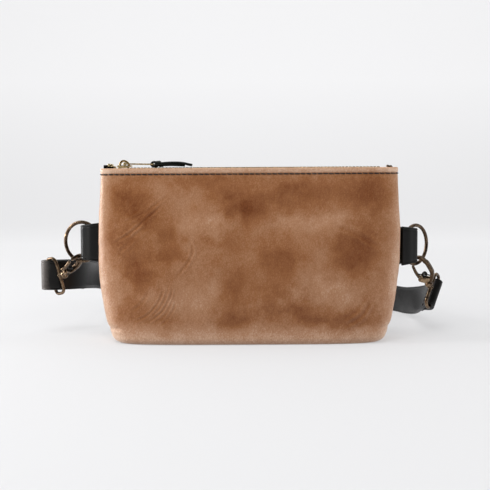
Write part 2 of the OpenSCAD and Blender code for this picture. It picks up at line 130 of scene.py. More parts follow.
def make_stage():
    """A floor that curves up into a backdrop, far behind the object."""
    half_w, near, far, bend, top = 3.5, -2.5, 2.2, 0.9, 3.5
    profile = [(near, 0.0), (far - bend, 0.0)]
    profile += [
        (far - bend + bend * math.sin(a), bend - bend * math.cos(a))
        for a in np.linspace(0, math.pi / 2, 16)[1:]
    ]
    profile.append((far, top))
    points = [(x, y, z) for y, z in profile for x in (-half_w, half_w)]
    faces = [(2 * i, 2 * i + 1, 2 * i + 3, 2 * i + 2) for i in range(len(profile) - 1)]
    mesh = bpy.data.meshes.new("floor")
    mesh.from_pydata(points, [], faces)
    mesh.shade_smooth()
    floor = bpy.data.objects.new("floor", mesh)
    scene.collection.objects.link(floor)
    material, tree, shader = new_material("floor_paper")
    shader.inputs["Base Color"].default_value = srgb(150, 150, 151)
    shader.inputs["Roughness"].default_value = 0.9
    shader.inputs["Specular IOR Level"].default_value = 0.1
    # The paper's own glow stands for the even light of a white studio
    shader.inputs["Emission Color"].default_value = srgb(242, 242, 243)
    place = node(tree, "SeparateXYZ", {0: node(tree, "TexCoord").outputs["Object"]}).outputs
    away = spread(tree, place["Y"], 0.1, 0.9)
    height = spread(tree, place["Z"], 0.0, 0.35)
    glow = sum_of(tree, (away, 0.18), (height, 0.15), (1.0, 0.42))
    tree.links.new(glow, shader.inputs["Emission Strength"])
    mesh.materials.append(material)


# ---- Materials -------------------------------------------------------------


def new_material(name):
    material = bpy.data.materials.new(name)
    material.use_nodes = True
    tree = material.node_tree
    return material, tree, tree.nodes["Principled BSDF"]


def node(tree, kind, inputs=None, **settings):
    """Adds a shader node. Inputs are numbers, colours or another node's output."""
    made = tree.nodes.new("ShaderNode" + kind)
    for key, value in settings.items():
        setattr(made, key, value)
    for key, value in (inputs or {}).items():
        if isinstance(value, bpy.types.NodeSocket):
            tree.links.new(value, made.inputs[key])
        else:
            made.inputs[key].default_value = value
    return made


def place_coords(tree, stretch=(1, 1, 1)):
    """The object's own coordinates, in metres, stretched per axis."""
    coords = node(tree, "TexCoord").outputs["Object"]
    return node(tree, "Mapping", {"Vector": coords, "Scale": stretch}).outputs["Vector"]


def noise_at(tree, vector, scale, detail=3.0, roughness=0.55, distortion=0.0):
    inputs = {"Vector": vector, "Scale": scale, "Detail": detail, "Roughness": roughness}
    return node(tree, "TexNoise", {**inputs, "Distortion": distortion}).outputs["Fac"]


def wave_at(tree, vector, scale, distortion, bands):
    inputs = {"Vector": vector, "Scale": scale, "Distortion": distortion, "Detail": 1.0}
    return node(tree, "TexWave", inputs, bands_direction=bands).outputs["Fac"]


def ramp(tree, value, stops):
    """A colour ramp over (place, colour) stops."""
    made = node(tree, "ValToRGB", {"Fac": value})
    elements = made.color_ramp.elements
    while len(elements) < len(stops):
        elements.new(0.5)
    for element, (place, colour) in zip(elements, stops):
        element.position = place
        element.color = colour
    return made.outputs["Color"]


def spread(tree, value, low, high, to_low=0.0, to_high=1.0):
    inputs = {"Value": value, "From Min": low, "From Max": high, "To Min": to_low, "To Max": to_high}
    return node(tree, "MapRange", inputs).outputs["Result"]


def sum_of(tree, *terms):
    """Sum of (value, weight) terms."""
    total = None
    for value, weight in terms:
        inputs = {0: value, 1: weight}
        if total is None:
            total = node(tree, "Math", inputs, operation="MULTIPLY").outputs[0]
        else:
            inputs[2] = total
            total = node(tree, "Math", inputs, operation="MULTIPLY_ADD").outputs[0]
    return total


def bumped(tree, shader, layers):
    """Chains bump nodes: (height, strength, distance in millimetres)."""
    normal = None
    for height, strength, distance in layers:
        inputs = {"Height": height, "Strength": strength, "Distance": distance * MM}
        if normal is not None:
            inputs["Normal"] = normal
        normal = node(tree, "Bump", inputs).outputs["Normal"]
    tree.links.new(normal, shader.inputs["Normal"])


def set_shader(tree, shader, **values):
    """Sets or links the shader's sockets, named with _ for a space."""
    for key, value in values.items():
        socket = shader.inputs[key.replace("_", " ")]
        if isinstance(value, bpy.types.NodeSocket):
            tree.links.new(value, socket)
        else:
            socket.default_value = value


def pouch_leather():
    """Pull-up leather: mottled brown, fine crackle, slanting wrinkles and pores; painted shade darkens the
    crackle and wrinkle lines, and the paler hem and sides are partly painted highlight.
    """
    material, tree, shader = new_material("pouch_leather")
    plain = place_coords(tree)
    upright = place_coords(tree, (1, 1, 0.62))
    wander = node(tree, "TexNoise", {"Vector": plain, "Scale": 160.0, "Detail": 3.0}).outputs["Color"]
    bent = node(
        tree, "VectorMath", {0: wander, 1: (0.004, 0.004, 0.004), 2: upright}, operation="MULTIPLY_ADD"
    ).outputs["Vector"]
    # The tone attribute carries the mottling, painted shade in the folds and painted highlight at the hem
    # and sides, from panel_tone
    tone = node(tree, "Attribute", attribute_name="tone").outputs["Fac"]
    cloud = noise_at(tree, plain, 60, 6, 0.66, 0.9)
    streak = noise_at(tree, upright, 230, 4, 0.6, 1.2)
    creases = noise_at(tree, bent, 560, 4, 0.6, 1.4)
    fine = noise_at(tree, plain, 2100, 2, 0.5)
    # Crackle: the grain's cell edges; in the colour they darken as painted shade in the fine cracks, partly
    # the grain's own pattern
    cells = node(
        tree, "TexVoronoi", {"Vector": bent, "Scale": 820.0}, feature="DISTANCE_TO_EDGE"
    ).outputs["Distance"]
    crackle = spread(tree, cells, 0.0, 0.22)
    # Fine slanting wrinkles, gathered in patches; they shape the bump, and in the colour they are darker as
    # painted shade in the creases
    slant = node(
        tree,
        "Mapping",
        {"Vector": bent, "Rotation": (0, math.radians(52), 0), "Scale": (1, 1, 2.2)},
        vector_type="TEXTURE",
    ).outputs["Vector"]
    ripple = noise_at(tree, slant, 400, 2, 0.5, 0.4)
    rising, falling = spread(tree, ripple, 0.40, 0.5), spread(tree, ripple, 0.5, 0.60, 1.0, 0.0)
    line = node(tree, "Math", {0: rising, 1: falling}, operation="MINIMUM").outputs[0]
    patch = spread(tree, noise_at(tree, plain, 24, 3, 0.6), 0.40, 0.60)
    wrinkle = node(tree, "Math", {0: line, 1: patch}, operation="MULTIPLY").outputs[0]
    mixed = sum_of(
        tree,
        (tone, 1.08),
        (cloud, 0.30),
        (streak, 0.12),
        (creases, 0.14),
        (crackle, 0.10),
        (fine, 0.10),
        (wrinkle, -0.06),
        (1.0, -0.355),
    )
    colour = ramp(
        tree,
        mixed,
        [
            (0.0, srgb(70, 33, 12)),
            (0.25, srgb(104, 59, 31)),
            (0.5, srgb(134, 89, 57)),
            (0.72, srgb(160, 120, 92)),
            (1.0, srgb(200, 170, 148)),
        ],
    )
    rough = sum_of(tree, (streak, 0.20), (cloud, 0.16), (creases, 0.10), (1.0, 0.18))
    set_shader(tree, shader, Base_Color=colour, Roughness=rough, Specular_IOR_Level=0.42)
    bumped(
        tree,
        shader,
        [(wrinkle, 0.40, -0.14), (creases, 0.15, 0.12), (crackle, 0.35, 0.08), (fine, 0.20, 0.04)],
    )
    return material


def raw_edge():
    """Pale cut or folded rim of the leather."""
    material, tree, shader = new_material("pouch_leather_rim")
    plain = place_coords(tree)
    fibre = noise_at(tree, plain, 900, 4, 0.7, 0.8)
    cloud = noise_at(tree, plain, 120, 3, 0.6)
    mixed = sum_of(tree, (fibre, 0.55), (cloud, 0.45))
    colour = ramp(
        tree,
        mixed,
        [(0.3, srgb(150, 112, 84)), (0.6, srgb(192, 156, 128)), (0.8, srgb(216, 186, 160))],
    )
    set_shader(tree, shader, Base_Color=colour, Roughness=sum_of(tree, (fibre, 0.2), (1.0, 0.45)))
    bumped(tree, shader, [(fibre, 0.4, 0.12)])
    return material


def black_leather(name="black_leather", tint=(15, 14, 13)):
    """Finished strap leather: fine pebble grain, faint scuffs, glossier high points."""
    material, tree, shader = new_material(name)
    plain = place_coords(tree)
    pebble = node(
        tree, "TexVoronoi", {"Vector": plain, "Scale": 1500.0}, feature="SMOOTH_F1"
    ).outputs["Distance"]
    cloud = noise_at(tree, plain, 90, 4, 0.6, 0.5)
    fibre = noise_at(tree, plain, 800, 4, 0.65, 1.0)
    scuff = noise_at(tree, place_coords(tree, (1, 1, 6)), 160, 5, 0.7, 0.4)
    dark = tuple(c * 0.62 for c in tint)
    light = tuple(c * 1.55 for c in tint)
    # Painted highlight: the tone attribute, set only round the left belt's fold, lifts the colour towards
    # the pale top stop
    wear_and_highlight = node(tree, "Attribute", attribute_name="tone").outputs["Fac"]
    mixed = sum_of(tree, (cloud, 0.4), (fibre, 0.24), (scuff, 0.16), (wear_and_highlight, 0.5))
    # The top stop, (98, 93, 90), is the painted highlight's colour
    colour = ramp(
        tree,
        mixed,
        [(0.24, srgb(*dark)), (0.42, srgb(*tint)), (0.6, srgb(*light)), (1.0, srgb(98, 93, 90))],
    )
    rough = sum_of(tree, (fibre, 0.12), (scuff, 0.16), (1.0, 0.30))
    set_shader(tree, shader, Base_Color=colour, Roughness=rough, Specular_IOR_Level=0.30)
    bumped(tree, shader, [(fibre, 0.30, 0.10), (pebble, 0.25, 0.06)])
    return material


def metal(name, deep, body, wear_and_highlight, rough=0.3, wear=0.5):
    """Plated metal: patina in the hollows, bright where it is rubbed."""
    material, tree, shader = new_material(name)
    plain = place_coords(tree)
    cloud = noise_at(tree, plain, 260, 4, 0.6, 0.8)
    fine = noise_at(tree, plain, 1500, 3, 0.6)
    scratch = noise_at(tree, place_coords(tree, (1, 6, 1)), 900, 2, 0.6, 0.4)
    point = node(tree, "NewGeometry").outputs["Pointiness"]
    edge = spread(tree, point, 0.46, 0.58)
    mixed = sum_of(tree, (cloud, 0.55), (edge, wear), (fine, 0.2), (1.0, -0.15))
    colour = ramp(tree, mixed, [(0.22, srgb(*deep)), (0.48, srgb(*body)), (0.8, srgb(*wear_and_highlight))])
    roughness = sum_of(tree, (cloud, 0.16), (scratch, 0.14), (1.0, rough - 0.13))
    set_shader(tree, shader, Base_Color=colour, Roughness=roughness, Metallic=1.0)
    bumped(tree, shader, [(cloud, 0.12, 0.10), (scratch, 0.15, 0.03)])
    return material


def woven_tape():
    """Zip tape: a tight herringbone of cotton threads."""
    material, tree, shader = new_material("zip_tape")
    warp = wave_at(tree, place_coords(tree), 420.0, 0.6, "X")
    weft = wave_at(tree, place_coords(tree), 520.0, 0.5, "Y")
    fuzz = noise_at(tree, place_coords(tree), 2200, 3, 0.7)
    cloth = node(tree, "Math", {0: warp, 1: weft}, operation="MAXIMUM").outputs[0]
    mixed = sum_of(tree, (cloth, 0.6), (fuzz, 0.4))
    colour = ramp(tree, mixed, [(0.2, srgb(12, 12, 13)), (0.9, srgb(44, 43, 43))])
    set_shader(tree, shader, Base_Color=colour, Roughness=sum_of(tree, (fuzz, 0.2), (1.0, 0.7)))
    shader.inputs["Sheen Weight"].default_value = 0.3
    bumped(tree, shader, [(cloth, 0.6, 0.12), (fuzz, 0.4, 0.05)])
    return material


def waxed_thread():
    """Waxed sewing thread, two plies twisted."""
    material, tree, shader = new_material("thread")
    diagonal = node(
        tree,
        "Mapping",
        {"Vector": node(tree, "TexCoord").outputs["Object"], "Rotation": (0, math.radians(35), 0)},
    ).outputs["Vector"]
    twist = wave_at(tree, diagonal, 560.0, 0.8, "X")
    fuzz = noise_at(tree, place_coords(tree), 2600, 3, 0.7)
    mixed = sum_of(tree, (twist, 0.6), (fuzz, 0.4))
    colour = ramp(tree, mixed, [(0.15, srgb(16, 15, 18)), (0.9, srgb(58, 53, 54))])
    set_shader(tree, shader, Base_Color=colour, Roughness=sum_of(tree, (fuzz, 0.2), (1.0, 0.42)))
    bumped(tree, shader, [(twist, 0.6, 0.12), (fuzz, 0.3, 0.04)])
    return material


MATERIALS = {
    "pouch_leather": pouch_leather(),
    "rim": raw_edge(),
    "black_leather": black_leather(),
    "tail_leather": black_leather("tail_leather", (20, 23, 19)),
    "zip_tape": woven_tape(),
    "thread": waxed_thread(),
    "zip_brass": metal("zip_brass", (118, 90, 50), (204, 170, 110), (250, 230, 180), 0.26),
    "antique_brass": metal("antique_brass", (42, 33, 27), (92, 76, 62), (190, 162, 130), 0.26),
    "spring_steel": metal("spring_steel", (10, 10, 10), (22, 21, 21), (70, 68, 65), 0.40),
}


# ---- Shapes ------------------------------------------------------------------


def unit(v):
    v = np.asarray(v, float)
    return v / np.linalg.norm(v)


def square_to(v, axis):
    """v made square to the unit vector axis, of length 1."""
    v = np.asarray(v, float)
    return unit(v - np.dot(v, axis) * np.asarray(axis))


def smooth(t):
    t = np.clip(t, 0, 1)
    return t * t * (3 - 2 * t)


def lerp(a, b, t):
    return a + (b - a) * t


def spline(points, steps):
    """Catmull-Rom line through the points, with that many steps from point to point."""
    p = np.asarray(points, float)
    rows = np.vstack([p[:1], p, p[-1:]])
    t = np.linspace(0, 1, steps, endpoint=False)[:, None]
    line = [
        0.5
        * (2 * b + (c - a) * t + (2 * a - 5 * b + 4 * c - d) * t**2 + (3 * b - a - 3 * c + d) * t**3)
        for a, b, c, d in zip(rows, rows[1:], rows[2:], rows[3:])
    ]
    return np.vstack(line + [p[-1:]])


def tangents(line, closed=False):
    if closed:
        steps = np.roll(line, -1, 0) - np.roll(line, 1, 0)
    else:
        steps = np.gradient(line, axis=0)
    return steps / np.linalg.norm(steps, axis=1)[:, None]


def carried(line, hint, closed=False):
    """Width directions along a line, carried from one point to the next without twist."""
    along = tangents(line, closed)
    across = [square_to(hint, along[0])]
    for direction in along[1:]:
        across.append(square_to(across[-1], direction))
    return np.array(across)


def circle(radius, sides):
    return [
        (radius * math.cos(a), radius * math.sin(a))
        for a in np.linspace(0, 2 * math.pi, sides, endpoint=False)
    ]


def rounded_box_section(width, thick, radius, arc=4):
    """Rectangle with round corners, as points round its middle."""
    points = []
    for sx, sy, start in ((1, 1, 0), (-1, 1, 90), (-1, -1, 180), (1, -1, 270)):
        for a in np.radians(np.linspace(start, start + 90, arc + 1)):
            x = sx * (width / 2 - radius) + radius * math.cos(a)
            y = sy * (thick / 2 - radius) + radius * math.sin(a)
            points.append((x, y))
    return points


def belt_section(width, thick):
    """Leather band: burnished round edges, a creased line near each, a slight crown."""
    half = width / 2
    near = [0.75, 1.1, 1.35, 1.6, 1.85, 2.1, 2.6, 3.6]
    across = [-half + d for d in near] + list(np.linspace(-half + 5, half - 5, 7))
    across += [half - d for d in reversed(near)]
    face = [
        (u, thick / 2 - 0.22 * math.exp(-(((half - abs(u)) - 1.6) / 0.3) ** 2)) for u in across
    ]
    edge = 0.75
    rim = [
        (half - edge + edge * math.sin(a), thick / 2 * math.cos(a))
        for a in np.radians(np.linspace(20, 160, 9))
    ]
    back = [(-u, -v) for u, v in face]
    far_rim = [(-u, -v) for u, v in rim]
    return face + rim + back + far_rim


def tube_faces(n, k, closed=False):
    """Faces of n rings of k points each, joined end to end or capped."""
    faces = [
        (i * k + j, i * k + (j + 1) % k, (i + 1) % n * k + (j + 1) % k, (i + 1) % n * k + j)
        for i in range(n if closed else n - 1)
        for j in range(k)
    ]
    if not closed:
        faces.append(tuple(reversed(range(k))))
        faces.append(tuple((n - 1) * k + j for j in range(k)))
    return faces


class Shape:
    """Points in millimetres, faces and each face's material, gathered part by part."""

    def __init__(self):
        self.points = []
        self.faces = []
        self.looks = []

    def add(self, points, faces, look=0):
        start = len(self.points)
        self.points.extend([tuple(p) for p in points])
        self.faces.extend([tuple(i + start for i in face) for face in faces])
        self.looks.extend([look] * len(faces))
        return self

    def sweep(self, line, across, section, scale=None, closed=False, look=0):
        """A section carried along a line. Across is one direction, or one for each point.

        Scale gives each point's width and thickness factors.
        """
        line = np.asarray(line, float)
        along = tangents(line, closed)
        wide = np.broadcast_to(np.asarray(across, float), line.shape)
        wide = wide - np.sum(wide * along, 1)[:, None] * along
        wide /= np.linalg.norm(wide, axis=1)[:, None]
        thick = np.cross(along, wide)
        n, section = len(line), np.asarray(section, float)
        k = len(section)
        factor = np.ones((n, 2)) if scale is None else np.asarray(scale, float)
        u = section[None, :, 0] * factor[:, :1]
        v = section[None, :, 1] * factor[:, 1:]
        points = line[:, None] + u[..., None] * wide[:, None] + v[..., None] * thick[:, None]
        return self.add(points.reshape(-1, 3), tube_faces(n, k, closed), look)

    def tube(self, line, radius, sides=20, hint=(0.1, 0.2, 1), closed=False, look=0):
        """A round wire along a line; radius may be one number or one for each point."""
        line = np.asarray(line, float)
        radii = np.broadcast_to(np.asarray(radius, float), (len(line),))
        scale = np.stack([radii, radii], 1)
        across = carried(line, hint, closed)
        return self.sweep(line, across, circle(1, sides), scale, closed, look)

    def lathe(self, profile, origin, axis, steps=40, look=0):
        """Turns a profile of (radius, height) about an axis. Both ends are capped."""
        z = unit(axis)
        x = square_to((0.31, 0.2, 0.93) if abs(z[2]) < 0.9 else (1, 0, 0), z)
        y = np.cross(z, x)
        turn = np.linspace(0, 2 * math.pi, steps, endpoint=False)
        points = [
            np.asarray(origin) + h * z + max(r, 0.01) * (math.cos(a) * x + math.sin(a) * y)
            for r, h in profile
            for a in turn
        ]
        return self.add(points, tube_faces(len(profile), steps), look)

    def block(self, centre, size, radius, axes=None, segments=3, look=0):
        """A box with rounded edges, along the given axes."""
        bm = bmesh.new()
        bmesh.ops.create_cube(bm, size=1)
        for v in bm.verts:
            v.co = [c * s for c, s in zip(v.co, size)]
        bmesh.ops.bevel(
            bm, geom=bm.edges[:], offset=radius, segments=segments, profile=0.5, affect="EDGES"
        )
        points = np.array([v.co for v in bm.verts])
        faces = [tuple(v.index for v in f.verts) for f in bm.faces]
        bm.free()
        axes = np.eye(3) if axes is None else np.asarray(axes, float)
        return self.add(points @ axes + np.asarray(centre), faces, look)

    def plate(self, outline, origin, x, y, thick, radius=0.3, look=0):
        """A flat outline in the plane of x and y, made thick both ways, with bevelled edges."""
        z = np.cross(x, y)
        flat = np.asarray(outline, float)
        middle = flat.mean(0)
        reach = np.abs(flat - middle).max()
        rows = []
        for height, inset in (
            (-thick / 2, radius),
            (-thick / 2 + 0.3 * radius, 0.3 * radius),
            (-thick / 2 + radius, 0),
            (thick / 2 - radius, 0),
            (thick / 2 - 0.3 * radius, 0.3 * radius),
            (thick / 2, radius),
        ):
            shrunk = middle + (flat - middle) * (1 - inset / reach)
            rows.append(origin + shrunk[:, :1] * x + shrunk[:, 1:] * y + height * z)
        return self.add(np.vstack(rows), tube_faces(len(rows), len(flat)), look)

    def make(self, name, body, slot, looks, nodes=(), crease=40, blend=None, tone=None):
        """Makes the object and gives it its materials; it is fixed to its body, or, when blend is given,
        only has its placement baked in.
        """
        mesh = bpy.data.meshes.new(name)
        mesh.from_pydata((np.asarray(self.points) * MM).tolist(), [], self.faces)
        mesh.polygons.foreach_set("material_index", self.looks)
        bm = bmesh.new()
        bm.from_mesh(mesh)
        bmesh.ops.recalc_face_normals(bm, faces=bm.faces[:])
        bm.to_mesh(mesh)
        bm.free()
        if tone is not None:
            mesh.attributes.new("tone", "FLOAT", "POINT").data.foreach_set("value", tone)
        mesh.shade_smooth()
        mesh.set_sharp_from_angle(angle=math.radians(crease))
        for look in looks:
            mesh.materials.append(MATERIALS[look])
        piece = bpy.data.objects.new(name, mesh)
        scene.collection.objects.link(piece)
        if blend:
            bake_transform(piece)
        else:
            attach(piece, body)
        if nodes:
            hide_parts(*nodes)
        return piece


def joint_pos(name):
    return np.array(JOINTS[name]["pos_m"]) / MM


def joint_axis(name):
    return unit(JOINTS[name]["axis"])


def node_box(name):
    low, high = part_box(name)
    return np.array(low) / MM, np.array(high) / MM


def lattice_noise(x, z, cell, seed):
    """Smooth noise of -1 to 1 on a square lattice of the given cell size."""
    table = np.random.RandomState(seed).uniform(-1, 1, (97, 97))
    u, v = np.asarray(x) / cell + 40.37, np.asarray(z) / cell + 40.73
    i, j = np.floor(u).astype(int), np.floor(v).astype(int)
    s, t = smooth(u - i), smooth(v - j)
    i, j = i % 96, j % 96
    low = lerp(table[i, j], table[i + 1, j], s)
    high = lerp(table[i, j + 1], table[i + 1, j + 1], s)
    return lerp(low, high, t)


# ---- Pouch panels --------------------------------------------------------------

POUCH_HALF_W = 108.0
POUCH_H = 123.2
BASE_HALF_D = 28.0
TOP_HALF_D = 7.0
SKIN_T = 1.8
SEAM_INSET = 3.0
STITCH_Z = POUCH_H - 4.3
STITCH_PITCH = 4.0
COLUMNS = 300
WALL_ROWS = 150
BOX_SEAM_Z = 11.0


def half_w(z):
    low = POUCH_HALF_W - 12.5 * np.clip(1 - z / 70, 0, 1) ** 2.6
    return low - 2.4 * smooth((z - 70) / 45)


def half_d(z):
    return lerp(BASE_HALF_D, TOP_HALF_D, z / POUCH_H) + 3.2 * np.sin(np.pi * z / POUCH_H)


def outline(z, inset, side, columns):
    """Half outline of the pouch at height z, from the right seam to the left, evenly spaced."""
    a = np.linspace(0, np.pi, 2400)
    power = 2 / (lerp(4.6, 4.2, smooth(z / 30)) + 2.8 * smooth((z - 60) / 55))
    drop = max(5 - z, 0)
    rounding = 0.8 * (5 - math.sqrt(25 - drop * drop))
    wide = half_w(z) - rounding - inset
    deep = half_d(z) - rounding - inset
    c, s = np.cos(a), np.sin(a)
    x = wide * np.sign(c) * np.abs(c) ** power
    x = np.where(c > 0, x * (1 - 0.016 * smooth((86 - z) / 50)), x)
    y = deep * np.abs(s) ** power
    valley = np.exp(-((y / 4.5) ** 2)) * smooth(z / 12) * smooth((105 - z) / 30)
    x = x - np.sign(c) * SEAM_INSET * valley
    y = np.maximum(y, 0.05)
    length = np.concatenate([[0], np.cumsum(np.hypot(np.diff(x), np.diff(y)))])
    even = np.linspace(0, length[-1], columns)
    return np.stack(
        [np.interp(even, length, x), side * np.interp(even, length, y), np.full(columns, float(z))],
        1,
    )


# Wrinkles of the front: points of the line, depth, ripple length and reach
WRINKLES = [
    ([(-57, 105), (-66, 98), (-78, 90), (-94, 84)], 0.16, 3.6, 3.2),
    ([(-62, 97), (-70, 90), (-84, 78), (-97, 70)], 0.28, 3.2, 3.6),
    ([(-66, 84), (-76, 79), (-88, 68), (-96, 56)], 0.13, 4.4, 4.0),
    ([(-54, 41), (-56, 33), (-62, 23), (-73, 15)], 0.36, 2.7, 2.9),
    ([(-60, 40), (-64, 30), (-72, 21), (-82, 16)], 0.30, 2.9, 2.6),
    ([(-52, 34), (-53, 26), (-58, 18), (-64, 13)], 0.22, 3.0, 3.0),
    ([(-70, 38), (-76, 29), (-84, 23)], 0.16, 3.8, 3.4),
    ([(-43, 74), (-40, 65), (-45, 55), (-52, 48)], 0.26, 3.4, 3.2),
    ([(84, 30), (78, 20), (66, 13)], 0.30, 5.0, 5.0),
    ([(60, 82), (76, 76), (92, 66)], 0.18, 6.0, 6.0),
]
# Patches of the front: middle, reach across and up, and how much lighter (+) or darker (-)
PATCHES = [
    (-86, 100, 11, 9, -0.20),
    (-71, 91, 9, 7, -0.18),
    (-89, 71, 13, 8, -0.16),
    (-57, 76, 8, 7, -0.14),
    (-55, 61, 10, 7, -0.17),
    (-75, 51, 10, 12, -0.24),
    (-30, 111, 24, 6, -0.14),
    (-5, 96, 20, 9, -0.28),
    (-20, 72, 15, 8, -0.10),
    (-11, 38, 9, 12, -0.16),
    (-10, 17, 9, 7, -0.18),
    (-80, 24, 13, 8, -0.10),
    (-56, 19, 6, 8, -0.14),
    (38, 104, 24, 8, -0.18),
    (84, 103, 16, 13, -0.22),
    (23, 56, 16, 10, -0.18),
    (77, 71, 15, 12, -0.20),
    (72, 57, 14, 8, -0.18),
    (42, 20, 32, 6, -0.20),
    (71, 14, 11, 4, -0.14),
    (15, 36, 12, 8, -0.10),
    (-25, 84, 13, 9, 0.14),
    (-41, 78, 10, 24, 0.10),
    (-43, 31, 22, 14, 0.14),
    (-62, 107, 11, 6, 0.06),
    (43, 84, 28, 7, 0.16),
    (43, 46, 15, 14, 0.12),
    (68, 35, 19, 8, 0.14),
    # The last two, tall and pale along the side edges, are painted highlight on the rounded sides
    (98, 40, 7, 26, 0.12),
    (-97, 40, 8, 22, 0.12),
]


def distance_to_line(x, z, line):
    """Distance from points to a line in the plane, and how far along it they lie, 0 to 1."""
    line = spline([(a, b, 0) for a, b in line], 6)[:, :2]
    best = np.full(np.shape(x), 1e9)
    along = np.zeros(np.shape(x))
    for k, (p, q) in enumerate(zip(line, line[1:])):
        d = q - p
        t = np.clip(((x - p[0]) * d[0] + (z - p[1]) * d[1]) / (d @ d), 0, 1)
        side = np.sign(d[0] * (z - p[1]) - d[1] * (x - p[0]))
        gap = np.hypot(x - p[0] - t * d[0], z - p[1] - t * d[1])
        closer = gap < np.abs(best)
        best = np.where(closer, gap * side, best)
        along = np.where(closer, (k + t) / (len(line) - 1), along)
    return best, along


def wrinkles(x, z):
    """The folded waves of the front: depth in millimetres, crests down."""
    total = np.zeros(np.shape(x))
    for line, depth, ripple, reach in WRINKLES:
        gap, along = distance_to_line(x, z, line)
        fade = smooth(along / 0.2) * smooth((1 - along) / 0.25)
        total = total + depth * fade * np.cos(2 * np.pi * gap / ripple) * np.exp(-((gap / reach) ** 2))
    return total


def relief(x, y, z, side):
    """How far the leather stands out from the plain outline, in millimetres."""
    seed = 3 if side < 0 else 11
    face = smooth((np.abs(y) - 0.35 * half_d(z)) / 6)
    calm = smooth((POUCH_H - 6 - z) / 14)
    out = 0.55 * lattice_noise(x, z, 38, seed) * calm
    out = out + 0.22 * lattice_noise(x, z, 13, seed + 1) * calm
    out = out + 0.07 * lattice_noise(x * 1.6, z * 0.6, 3.2, seed + 2) * calm
    mirror = 1 if side < 0 else -1
    out = out - face * wrinkles(mirror * x, z)
    # The hem above the stitching, the thread's groove and the pucker at each stitch
    pucker = 0.10 * np.cos(2 * np.pi * x / STITCH_PITCH)
    out = out - (0.42 + pucker) * np.exp(-(((z - STITCH_Z) / 0.75) ** 2))
    out = out + 0.22 * smooth((z - STITCH_Z - 0.6) / 1.2)
    # The boxed corners: a seam across each side wall, and the pinch where it ends
    outer = smooth((np.abs(x) - (half_w(z) - 13)) / 7)
    out = out - 0.55 * outer * np.exp(-(((z - BOX_SEAM_Z) / 1.5) ** 2))
    out = out + 0.2 * outer * np.exp(-(((z - BOX_SEAM_Z - 5) / 4) ** 2))
    return out


def panel_tone(x, y, z, side):
    """Where the leather is paler (towards 1) or darker (towards 0)."""
    mirror = 1 if side < 0 else -1
    tone = np.full(np.shape(x), 0.5)
    shift_x = 5 * lattice_noise(x, z, 17, 21) + 3.5 * lattice_noise(x, z, 6, 22)
    shift_z = 5 * lattice_noise(x, z, 17, 23) + 3.5 * lattice_noise(x, z, 6, 24)
    for px, pz, rx, rz, amount in PATCHES:
        gap = ((mirror * x - px + shift_x) / rx) ** 2 + ((z - pz + shift_z) / rz) ** 2
        tone = tone + amount * np.exp(-gap)
    # Painted shade: darker in the valleys of the folded waves
    tone = tone - 0.20 * wrinkles(mirror * x, z)
    # Paler hem above the stitching: painted highlight on the raised fold, partly the paler stretch of
    # pull-up leather
    tone = tone + 0.26 * smooth((z - STITCH_Z - 0.3) / 1.0)
    tone = tone + 0.22 * smooth((19 - z) / 15)
    # Paler near the side edges: painted highlight on the rounded sides, partly the paler stretch of pull-up
    # leather
    tone = tone + 0.20 * smooth((np.abs(x) - half_w(z) + 12) / 12)
    return tone


def panel(name, side, slot):
    """One panel with its half of the base: outer skin, rolled rim and inner skin in one grid."""
    roll = SKIN_T / 2
    rows, relieved = [], []
    base = outline(0.02, 0, side, COLUMNS)
    for s in np.linspace(0, 1, 14, endpoint=False):
        row = base * (1, s, 1)
        row[:, 1] = side * np.maximum(np.abs(row[:, 1]), 0.05)
        row[:, 2] = 0.35 * math.sin(math.pi * s) * np.abs(row[:, 1]) / BASE_HALF_D
        rows.append(row)
        relieved.append(False)
    for t in np.linspace(0, 1, WALL_ROWS):
        rows.append(outline(0.02 + (POUCH_H - roll - 0.02) * t**1.25, 0, side, COLUMNS))
        relieved.append(True)
    for a in np.radians(np.linspace(15, 165, 9)):
        row = outline(POUCH_H - roll, roll - roll * math.cos(a), side, COLUMNS)
        row[:, 2] = POUCH_H - roll + roll * math.sin(a)
        rows.append(row)
        relieved.append(False)
    for z in np.linspace(POUCH_H - roll, SKIN_T, 16):
        rows.append(outline(z, SKIN_T, side, COLUMNS))
        relieved.append(False)
    for s in np.linspace(1, 0, 5)[1:]:
        row = outline(SKIN_T, SKIN_T, side, COLUMNS) * (1, s, 1)
        row[:, 1] = side * np.maximum(np.abs(row[:, 1]), 0.05)
        rows.append(row)
        relieved.append(False)
    grid = np.array(rows)
    normal = np.cross(np.gradient(grid, axis=1), np.gradient(grid, axis=0))
    normal /= np.maximum(np.linalg.norm(normal, axis=2)[..., None], 1e-9)
    normal *= np.sign(np.sum(normal[40, COLUMNS // 2] * (0, side, 0)))
    x, y, z = grid[..., 0], grid[..., 1], grid[..., 2]
    out = relief(x, y, z, side) * np.array(relieved)[:, None]
    seam = smooth(np.abs(y) / 2.5)
    rim_rows = ~np.array(relieved)
    out = out * np.where(z > POUCH_H - roll - 0.1, 1, seam) * smooth(z / 3)
    out[rim_rows] = 0
    # The rolled rim keeps the hem's thickness
    wall_end = 14 + WALL_ROWS - 1
    for k in range(1, 6):
        out[wall_end + k] = out[wall_end] * (1 - k / 6)
    grid = grid + normal * out[..., None]
    tones = panel_tone(x, y, z, side)
    n, m = grid.shape[:2]
    shape = Shape()
    faces = [
        (i * m + j, i * m + j + 1, (i + 1) * m + j + 1, (i + 1) * m + j)
        for i in range(n - 1)
        for j in range(m - 1)
    ]
    shape.add(grid.reshape(-1, 3), faces)
    rim_faces = range(wall_end * (m - 1), (wall_end + 9) * (m - 1))
    for index in rim_faces:
        shape.looks[index] = 1
    shape.faces.append(tuple(i * m for i in range(n)))
    shape.faces.append(tuple(i * m + m - 1 for i in reversed(range(n))))
    shape.looks.extend([0, 0])
    return shape.make(
        name, "pouch", slot, ["pouch_leather", "rim"], [slot_node(side)], crease=60, tone=tones.ravel()
    )


def slot_node(side):
    return "front_panel" if side < 0 else "back_panel"


